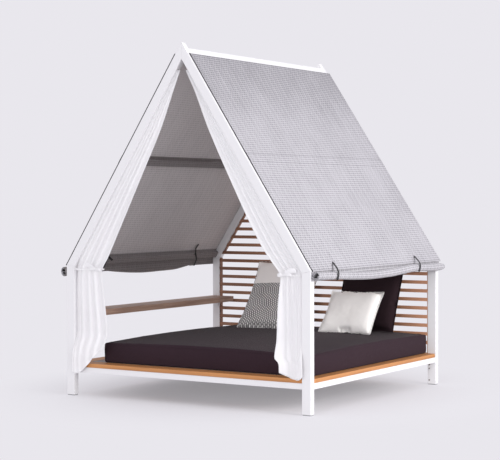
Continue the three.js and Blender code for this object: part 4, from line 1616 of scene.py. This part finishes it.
@dataclass(frozen=True)
class Curtain:
    """A voile curtain drawn aside, its folds gathered at the tie.

    Its levels and reaches draw the free edge: shares of the way from the tie, up to 1 at the
    rafter and down to -1 at the hem, and how far the edge is from the gable's middle there.
    """

    side: Side
    outer_hem_rise: float
    inner_hem_rise: float
    hem_dip: float
    hem_flare: float
    levels: tuple[float, ...]
    reaches: tuple[float, ...]
    inward: float = 0.0
    broad: float = 0.0
    back: float = 0.0
    slant: float = 0.0
    hem_turn: float = 1.0
    folds: int = 5
    columns: int = 120
    rows: int = 150
    flat_width: float = 0.5
    flat_length: float = 2.1
    thickness: float = 0.0007
    tie_height: float = 0.9
    tie_depth: float = 0.0172
    tie_width: float = 0.008
    tie_thickness: float = 0.0016
    tie_steps: int = 72
    tie_share: float = 0.62
    top: float = 2.2621
    gap: float = 0.0006
    plane_high: float = -0.938
    plane_low: float = -0.9788
    top_depth: float = 0.004
    low_depth: float = 0.012

    def pinch(self, z: float) -> float:
        """The share of the tie's pinch at a height."""
        return math.exp(-(((z - self.tie_height) / 0.07) ** 2))

    def depth(self, z: float) -> float:
        """How deep the folds are at a height."""
        spread = smooth((GABLE.apex - z) / (GABLE.apex - GABLE.knee))
        return between(self.top_depth, self.low_depth, spread) * (1 - 0.28 * self.pinch(z))

    def out(self, z: float) -> float:
        """The share of its way over the deck's edge that the curtain has gone at a height."""
        return smooth((GABLE.deck_top + 0.235 - z) / 0.19)

    def plane(self, z: float) -> float:
        """The curtain's middle plane at a height."""
        return between(self.plane_high, self.plane_low, self.out(z))

    def panel(self, u: float, z: float) -> float:
        """How far a point below the tie swings forward, in two broad panels."""
        low = smooth((self.tie_height - 0.03 - z) / 0.25)
        return self.broad * low * math.cos(math.pi * (u / 0.46 if u < 0.46 else 1 - 1.3 * (u - 0.46)))

    def free_edge(self, z: float) -> float:
        """How far the free edge is from the gable's middle."""
        low = self.tie_height - GABLE.deck_top - self.inner_hem_rise
        reach = self.top - self.tie_height if z > self.tie_height else low
        drawn = self.inward * smooth((self.tie_height + 0.28 - z) / 0.25)
        level = (z - self.tie_height) / reach
        return curve_through(self.levels[::-1], self.reaches[::-1], level) - drawn

    def height(self, u: float, v: float) -> float:
        """The height of a point, v going from the top to the hem."""
        if v < self.tie_share:
            return between(self.top, self.tie_height, v / self.tie_share)
        rise = between(self.outer_hem_rise, self.inner_hem_rise, smooth(u))
        hem = GABLE.deck_top + rise - self.hem_dip * math.sin(math.pi * u**self.hem_turn)
        return between(self.tie_height, hem, (v - self.tie_share) / (1 - self.tie_share))

    def wave(self, u: float, z: float) -> float:
        """The folds and creases.

        Args:
            u: The share of the way from the frame to the free edge.
            z: The height.

        Returns:
            How far a point is from the middle plane, from -1 to 1 times the folds' depth.
        """
        seed = self.side.value * 5.0
        warp = 0.045 * math.sin(2 * math.pi * u + 1.2 + 0.9 * z) + 0.05 * ripple(u * 1.7, z * 0.9, seed)
        turns = self.folds * (u**0.62 + 0.7 * warp * math.sin(math.pi * u))
        turns += self.slant * max(0.0, self.tie_height - z) * math.sin(math.pi * u)
        strength = (0.42 + 0.43 * smooth(u / 0.5)) * (0.85 + 0.15 * ripple(u * 2.7, z * 0.8, seed + 4))
        crease = 0.09 * ripple(u * 11, z * 1.1, seed + 2) + 0.03 * ripple(u * 30, z * 4.0, seed)
        fold = -math.cos(2 * math.pi * turns)
        fold = fold * (1.25 - 0.25 * fold * fold)
        wave = fold * strength * 0.86 + crease * (1 - self.pinch(z) * 0.6)
        keep = 1.0 if 0.02 < u < 0.98 else 0.8
        keep *= 1 - 0.5 * smooth((GABLE.deck_top + 0.28 - z) / 0.22)
        keep *= 1 - 22 * self.broad * smooth((self.tie_height - z) / 0.3)
        return max(-1.0, min(1.0, wave)) * keep

    def point(self, u: float, v: float) -> Vector:
        """A point of the curtain, u going from the frame to the free edge."""
        z = self.height(u, v)
        flare = self.hem_flare * max(0.0, self.out(z) - 0.08) / 0.92
        outer = GABLE.inner_face_x(z) - self.gap - 0.006 * self.pinch(z) + flare
        y = self.plane(z) - self.panel(u, z) + self.wave(u, z) * self.depth(z)
        y += self.back * (1 - smooth(u / 0.3)) * (1 - self.out(z)) * smooth((GABLE.knee + 0.05 - z) / 0.1)
        return Vector((self.side.value * between(outer, self.free_edge(z), u), y, z))

    def flat(self, u: float, v: float) -> tuple[float, float]:
        """A point's place on the flat curtain."""
        return u * self.flat_width, v * self.flat_length

    def cloth(self) -> None:
        """Makes the curtain."""
        word = self.side.word
        bm = Maker.grid(self.columns, self.rows, self.point, self.flat)
        area = sum(face.calc_area() for face in bm.faces)
        name, node = f"curtain_{word}_voile", f"curtain_{word}"
        obj = Maker.piece(bm, name, FINISHES.voile, "daybed", node, self.thickness)

    def tie(self) -> None:
        """Ties the curtain with a strip of the same voile."""
        sign = self.side.value
        edge = min(self.free_edge(self.tie_height + d) for d in (-0.016, 0.0, 0.016)) - 0.005
        outer = GABLE.inner_x - self.gap
        middle, reach = (edge + outer) / 2, (outer - edge) / 2
        plane = self.plane(self.tie_height)
        path = []
        for i in range(self.tie_steps):
            a = 2 * math.pi * i / self.tie_steps
            x = middle + reach * powered(math.cos(a), 0.45)
            y = plane + self.tie_depth * powered(math.sin(a), 0.7)
            path.append(Vector((sign * x, y, self.tie_height + 0.004 * math.sin(a * 2 + 1))))
        bm = Maker.ribbon(path + path[:1], lambda i: Vector((0, 0, 1)), lambda t: self.tie_width, 5)
        name = f"curtain_tie_{self.side.word}"
        Maker.piece(bm, f"{name}_band", FINISHES.voile, "daybed", name, self.tie_thickness)
        self.knot(name, Vector((sign * (edge + 0.050), plane - self.tie_depth - 0.002, self.tie_height)))

    def knot(self, name: str, at: Vector) -> None:
        """Adds the knot and its three tips.

        Args:
            name: The tie's node name.
            at: The knot's place.
        """
        bm = bmesh.new()
        bmesh.ops.create_uvsphere(bm, u_segments=20, v_segments=12, radius=1.0)
        for vert in bm.verts:
            x, y, z = vert.co
            twist = 1 + 0.16 * ripple(x * 2.5, y * 2.5, z * 4.0 + self.side.value)
            vert.co = at + Vector((x * 0.013, y * 0.007, z * 0.012)) * twist
        Maker.front_map(bm)
        Maker.piece(bm, f"{name}_knot", FINISHES.voile, "daybed")
        self.tip(f"{name}_tip_outer", at, reach=0.096, rise=0.034, wide=0.026)
        self.tip(f"{name}_tip_lower", at, reach=0.064, rise=0.006, wide=0.016)
        self.tip(f"{name}_tip_inner", at, reach=-0.044, rise=0.002, wide=0.019)

    def tip(self, name: str, at: Vector, reach: float, rise: float, wide: float) -> None:
        """Adds one of the knot's tips.

        Args:
            name: The piece's name.
            at: The knot's place.
            reach: How far outward it goes.
            rise: How high it lifts.
            wide: Its width.
        """
        path = []
        for i in range(21):
            t = i / 20
            lift = rise * math.sin(t * 1.9) - 0.006 * t * t
            ahead = -0.003 - 0.006 * math.sin(math.pi * t)
            path.append(at + Vector((self.side.value * reach * t, ahead, lift)))

        def width(t: float) -> float:
            """The tip's width at a share of its length."""
            return wide * (0.45 + 0.85 * math.sin(2.4 * t)) + 0.002

        bm = Maker.ribbon(path, lambda i: Vector((0.0, -0.35, 0.94)), width, 6)
        Maker.piece(bm, name, FINISHES.voile, "daybed", thickness=self.tie_thickness)

    def build(self) -> None:
        """Makes the curtain and its tie."""
        self.cloth()
        self.tie()


# The mattress and the cushions


@dataclass(frozen=True)
class Mattress:
    """The crowned mattress: boxed edges with a cord in each seam, its cover a little puckered."""

    half_x: float = 0.8465
    half_y: float = 0.8725
    middle: Vector = field(default_factory=lambda: Vector((0.0835, 0.0355, 0.2350)))
    corner_height: float = 0.138
    crown: float = 0.032
    edge: float = 0.012
    bow: float = 0.003
    cuts: int = 68
    cord: float = 0.0024
    squareness: float = 0.12
    looks: int = 360
    cord_points: int = 420

    def top(self, x: float, y: float) -> float:
        """The height of the mattress's top at a point."""
        a, b = (x - self.middle.x) / self.half_x, (y - self.middle.y) / self.half_y
        return self.middle.z + self.corner_height + self.crown * (1 - min(1.0, (a * a + b * b) / 2))

    def point(self, cube: Vector) -> Vector:
        """Brings a point of a cube to the mattress's cover.

        Args:
            cube: The point, with each part from -1 to 1.

        Returns:
            The point on the cover, with its edges rounded and its sides bowed.
        """
        share = Vector(math.sin(math.pi / 2 * t) for t in cube)
        half = Vector((self.half_x - self.bow, self.half_y - self.bow, self.corner_height / 2))
        flat = Vector(share[i] * half[i] for i in range(3))
        core = Vector(max(-half[i] + self.edge, min(half[i] - self.edge, flat[i])) for i in range(3))
        over = flat - core
        if over.length > 0:
            flat = core + over * (max(abs(t) for t in over) / over.length)
        level = (flat.z + half.z) / (2 * half.z)
        swell = self.bow * 4 * level * (1 - level)
        swell += 0.0016 * ripple(flat.x * 11, flat.y * 11, level * 2.5)
        swell += 0.0008 * ripple(flat.x * 34, flat.y * 34, level * 4.0)
        for axis in (0, 1):
            near = smooth((abs(flat[axis]) - half[axis] + 0.05) / 0.05)
            flat[axis] += math.copysign(swell * near, flat[axis])
        x, y = flat.x + self.middle.x, flat.y + self.middle.y
        rest = self.top(x, y) - self.middle.z
        soft = 0.0018 * ripple(x * 4.0, y * 4.0, 6.0) + 0.0005 * ripple(x * 19, y * 19, 8.0)
        return Vector((x, y, max(0.0004, level * (rest + soft)) + self.middle.z))

    def build(self) -> None:
        """Makes the mattress."""
        bm = bmesh.new()
        bmesh.ops.create_cube(bm, size=2.0)
        bmesh.ops.subdivide_edges(bm, edges=bm.edges[:], cuts=self.cuts, use_grid_fill=True)
        for vert in bm.verts:
            vert.co = self.point(vert.co)
        bmesh.ops.recalc_face_normals(bm, faces=bm.faces)
        cover = Maker.piece(bm, "mattress_cover", FINISHES.mattress, "mattress", "mattress")
        tree = BVHTree.FromObject(cover, bpy.context.evaluated_depsgraph_get())
        self.piping("upper", tree, lambda x, y: self.top(x, y) - 0.010)
        self.piping("lower", tree, lambda x, y: self.middle.z + 0.009)

    def piping(self, word: str, cover: BVHTree, height: Callable[[float, float], float]) -> None:
        """Runs a seam cord round the mattress.

        Args:
            word: The edge that it runs along.
            cover: The cover's surface.
            height: The seam's height at a point.
        """
        path = []
        for i in range(self.looks):
            angle = 2 * math.pi * (i + 0.5) / self.looks
            x = self.middle.x + self.half_x * powered(math.cos(angle), self.squareness)
            y = self.middle.y + self.half_y * powered(math.sin(angle), self.squareness)
            path.append(cover.find_nearest(Vector((x, y, height(x, y))))[0])
        bm = Maker.tube(spaced(path, self.cord_points), self.cord)
        Maker.piece(bm, f"mattress_piping_{word}", FINISHES.mattress, "mattress")


@dataclass(frozen=True)
class Cushion:
    """A stuffed cushion with sharp corners and a seam all round, leaning on what is behind it."""

    node: str
    width: float
    height: float
    thickness: float
    lean: float
    front: Coat
    upper: Coat | None = None
    split: float = 0.0
    draw: float = 0.03
    cells: int = 44
    seed: float = 0.0
    sink: float = 0.0
    slab: float = 0.022
    spare: float = 0.004
    pressure: float = 5.0
    stiffness: float = 12.0
    cap: float = 0.05
    aside: float = 0.008
    frames: int = 20
    seam: float = 0.0022
    seam_points: int = 240

    def cover(self) -> bpy.types.Object:
        """Makes the flat cover, standing at the origin.

        Returns:
            The cover, closed and a little filled, so that it swells outward.
        """
        half_w, half_h = self.width / 2 + self.spare, self.height / 2 + self.spare
        rows = max(12, round(self.cells * self.height / self.width))

        def place(u: float, v: float) -> Vector:
            """A point of the flat cover, its sides drawn in between its corners."""
            x, z = 2 * u - 1, 2 * v - 1
            draw_x = 1 - self.draw * (1 - z * z)
            draw_z = 1 - self.draw * 0.05 * (1 - x * x)
            return Vector((x * half_w * draw_x, 0, z * half_h * draw_z))

        def flat(u: float, v: float) -> tuple[float, float]:
            """Its place on the flat cloth."""
            return u * self.width, v * self.height

        def dome(t: float) -> float:
            """How full the cover is at a share of the way to its edge."""
            return max(0.0, 1 - abs(t) ** 2.4) ** 0.7

        bm = Maker.grid(self.cells, rows, place, flat)
        bmesh.ops.solidify(bm, geom=list(bm.faces), thickness=self.slab)
        bmesh.ops.recalc_face_normals(bm, faces=bm.faces)
        Maker.order(bm)
        middle = sum(v.co.y for v in bm.verts) / len(bm.verts)
        for vert in bm.verts:
            start = self.thickness * 0.30 * dome(vert.co.x / half_w) * dome(vert.co.z / half_h)
            vert.co.y = math.copysign(self.slab * 0.12 + start, vert.co.y - middle)
        return Maker.piece(bm, f"{self.node}_cover", self.front)

    def swell(self, obj: bpy.types.Object) -> None:
        """Swells the cover with a cloth simulation, and caps how far its points move.

        Args:
            obj: The cover.
        """
        scene = bpy.context.scene
        rest = [v.co.copy() for v in obj.data.vertices]
        cloth = obj.modifiers.new("cloth", "CLOTH")
        settings = cloth.settings
        settings.quality = 4
        settings.mass = 0.25
        settings.tension_stiffness = settings.compression_stiffness = self.stiffness
        settings.shear_stiffness = self.stiffness / 2
        settings.bending_stiffness = 0.3
        settings.air_damping = 1.5
        settings.use_pressure = True
        settings.uniform_pressure_force = self.pressure
        settings.effector_weights.gravity = 0
        cloth.collision_settings.use_collision = False
        cloth.point_cache.frame_start = 1
        cloth.point_cache.frame_end = self.frames
        for number in range(1, self.frames + 1):
            scene.frame_set(number)
        Maker.apply_modifiers(obj)
        scene.frame_set(1)
        for vert, start in zip(obj.data.vertices, rest):
            move = vert.co - start
            flat = math.hypot(move.x, move.z)
            keep = min(1.0, self.aside / flat) if flat > 0 else 1.0
            thick = max(-self.cap, min(self.cap, move.y))
            vert.co = start + Vector((move.x * keep, thick, move.z * keep))

    def shape(self, obj: bpy.types.Object) -> None:
        """Brings the swollen cushion to its size and gives it soft dents and a puckered seam.

        Args:
            obj: The cushion.
        """
        low, high = corners([v.co for v in obj.data.vertices])
        wide, thick, tall = high - low
        LOG.info("%s swelled to %.0f x %.0f x %.0f mm", self.node, wide * 1e3, tall * 1e3, thick * 1e3)
        for v in obj.data.vertices:
            x, z = v.co.x / (wide / 2), v.co.z / (tall / 2)
            rim = max(abs(x), abs(z))
            v.co.x *= self.width / wide
            v.co.z *= self.height / tall
            bulge = max(0.0, (1 - min(1.0, abs(x)) ** 2.2) * (1 - min(1.0, abs(z)) ** 2.2)) ** 0.62
            swollen = abs(v.co.y) * self.thickness / thick
            v.co.y = math.copysign(0.3 * swollen + 0.7 * (0.0022 + bulge * self.thickness / 2), v.co.y)
            calm = max(0.0, 1 - rim**4)
            v.co.y += 0.006 * calm * ripple(x * 1.6 + self.seed, z * 1.6, 1.0)
            v.co.y += 0.0016 * calm * ripple(x * 7 + self.seed, z * 7, 3.0)
            pucker = smooth((rim - 0.72) / 0.2) * smooth((1.02 - rim) / 0.10)
            seam = x if abs(z) > abs(x) else z
            v.co.y += math.copysign(0.0022 * pucker * ripple(seam * 13 + self.seed, 2.0, self.seed), v.co.y)
            lift = max(0.0, -z - 0.8) / 0.2 * max(0.0, 1 - abs(x) ** 3)
            v.co.z += lift * 0.004 * ripple(x * 4.5, self.seed, 5.0)

    @property
    def leaned(self) -> Matrix:
        """The turn that leans the cushion back."""
        return Matrix.Rotation(-math.radians(self.lean), 4, "X")

    def stand(self, obj: bpy.types.Object, mattress: Mattress) -> None:
        """Leans the cushion where its node is, its lower edge pressed on the mattress.

        Args:
            obj: The cushion.
            mattress: What it stands on.
        """
        obj.data.transform(self.leaned)
        low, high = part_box(self.node)
        own_low, own_high = corners([v.co for v in obj.data.vertices])
        move = (low + high) / 2 - (own_low + own_high) / 2
        move.z = low.z - own_low.z - self.sink
        for vert in obj.data.vertices:
            vert.co += move
            vert.co.z = max(vert.co.z, mattress.top(vert.co.x, vert.co.y) + 0.002)

    def welt(self, obj: bpy.types.Object) -> None:
        """Sews the seam that runs round the cushion, through its outermost points.

        Args:
            obj: The cushion.
        """
        normal, along = self.leaned @ Vector((0, 1, 0)), self.leaned @ Vector((0, 0, 1))
        verts = obj.data.vertices
        centre = sum((v.co for v in verts), Vector()) / len(verts)
        rim: dict[int, tuple[float, Vector]] = {}
        for v in verts:
            offset = v.co - centre
            a, b = offset.x, offset.dot(along)
            key = round(math.degrees(math.atan2(b, a)) / 2)
            reach = math.hypot(a, b)
            if key not in rim or reach > rim[key][0]:
                rim[key] = (reach, v.co - normal * (offset.dot(normal)) * 0.6)
        path = [rim[k][1] for k in sorted(rim)]
        bm = Maker.tube(spaced(path, self.seam_points), self.seam, 6)
        Maker.piece(bm, f"{self.node}_welt", self.front, self.node)

    def build(self, mattress: Mattress) -> None:
        """Makes the cushion.

        Args:
            mattress: What it stands on.
        """
        obj = self.cover()
        self.swell(obj)
        self.shape(obj)
        if self.upper:
            obj.data.materials.append(self.upper.material)
            verts = obj.data.vertices
            for polygon in obj.data.polygons:
                middle = sum(verts[i].co.z for i in polygon.vertices) / len(polygon.vertices)
                polygon.material_index = int(middle > self.split)
        self.stand(obj, mattress)
        surface = obj.modifiers.new("smooth", "SUBSURF")
        surface.levels = surface.render_levels = 1
        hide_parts(self.node)
        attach(obj, self.node)
        self.welt(obj)


# Everything in order


CANOPIES = (Canopy(Side.LEFT, front=-0.955), Canopy(Side.RIGHT, front=-0.935))
ROLLS = (
    RolledBlind(
        Side.RIGHT,
        height=0.066,
        places=(-1, -0.85, -0.7, -0.45, -0.2, 0.11, 0.3, 0.45, 0.58, 0.74, 0.88, 1),
        sags=(0, 0.11, 0.28, 0.56, 0.75, 0.61, 0.36, 0.14, 0.17, 0.28, 0.33, 0.39),
        swells=(0.86, 0.98, 0.9, 0.98, 1, 1.03, 1.03, 1.02, 0.92, 1.02, 1.06, 0.86),
        strap_stations=(2, 8),
        strap_ways=((0.046, -0.042, -0.020, 0.0, 0.0), (0.042, -0.046, -0.022, 0.0, 0.010)),
        flap_finish=FINISHES.roll,
    ),
    RolledBlind(
        Side.LEFT,
        height=0.074,
        places=(-1, -0.8, -0.571, -0.4, -0.2, -0.01, 0.2, 0.42, 0.55, 0.663, 0.84, 1),
        sags=(0.56, 0.25, 0, 0.39, 0.78, 0.97, 0.92, 0.8, 0.44, 0.14, 0.11, 0.17),
        swells=(1.08, 1.02, 0.9, 0.98, 1.02, 1.03, 1.02, 1, 0.96, 0.9, 1, 0.9),
        strap_stations=(2, 9),
        strap_ways=((0.030, -0.030, -0.030, -0.018, -0.028), (0.0, 0.020, -0.003, -0.008, -0.066)),
        # The left flap faces in and takes the darker copy of the cloth: painted shade.
        flap_finish=FINISHES.pocket,
        tails=(
            (
                (1.768, -0.572, -0.0345),
                (1.744, -0.578, -0.036),
                (1.746, -0.562, -0.040),
                (1.756, -0.540, -0.041),
                (1.774, -0.503, -0.040),
            ),
            (
                (1.768, 0.573, -0.0345),
                (1.747, 0.572, -0.028),
                (1.724, 0.576, -0.012),
                (1.706, 0.584, -0.009),
                (1.690, 0.594, -0.007),
            ),
        ),
        rear_pinch=0.04,
    ),
)
CURTAINS = (
    Curtain(
        Side.RIGHT,
        outer_hem_rise=0.023,
        inner_hem_rise=0.034,
        hem_dip=0.034,
        hem_flare=0.024,
        levels=(1, 0.89, 0.7, 0.45, 0.22, 0.13, 0.062, 0, -0.16, -0.33, -0.63, -0.85, -0.905, -1),
        reaches=(
            0.022, 0.098, 0.21, 0.384, 0.553, 0.633, 0.712, 0.775, 0.772, 0.764, 0.757, 0.752, 0.788, 0.797,
        ),
        inward=0.015,
        broad=0.013,
        slant=1.2,
        hem_turn=0.65,
    ),
    Curtain(
        Side.LEFT,
        outer_hem_rise=-0.069,
        inner_hem_rise=0.104,
        hem_dip=0.030,
        hem_flare=0.0,
        levels=(1, 0.9, 0.71, 0.45, 0.2, 0.062, 0, -0.18, -0.38, -0.81, -1),
        reaches=(0.022, 0.078, 0.184, 0.365, 0.541, 0.64, 0.69, 0.684, 0.671, 0.648, 0.675),
        back=0.018,
    ),
)
CUSHIONS = (
    Cushion(
        "cushion_two_tone",
        width=0.59,
        height=0.615,
        thickness=0.13,
        lean=34.5,
        front=FINISHES.pattern,
        upper=FINISHES.greige,
        split=0.062,
        draw=0.06,
        seed=1.0,
        sink=0.009,
    ),
    Cushion("cushion_dark", 0.50, 0.50, 0.128, 22.0, FINISHES.dark, draw=0.012, seed=2.0),
    Cushion("cushion_ivory", 0.438, 0.377, 0.112, 37.0, FINISHES.ivory, draw=0.035, cells=38, seed=3.0),
)


def main() -> None:
    """Builds the daybed and the studio round it."""
    logging.basicConfig(level=logging.INFO, format="%(message)s")
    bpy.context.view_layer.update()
    for part in (Studio(), Structure(), Woodwork(), *CANOPIES, *ROLLS, *CURTAINS):
        part.build()
    mattress = Mattress()
    mattress.build()
    for cushion in CUSHIONS:
        cushion.build(mattress)
    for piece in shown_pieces():
        LOG.info("%s: %d faces", piece.name, len(piece.data.polygons))


if __name__ == "__main__":
    main()
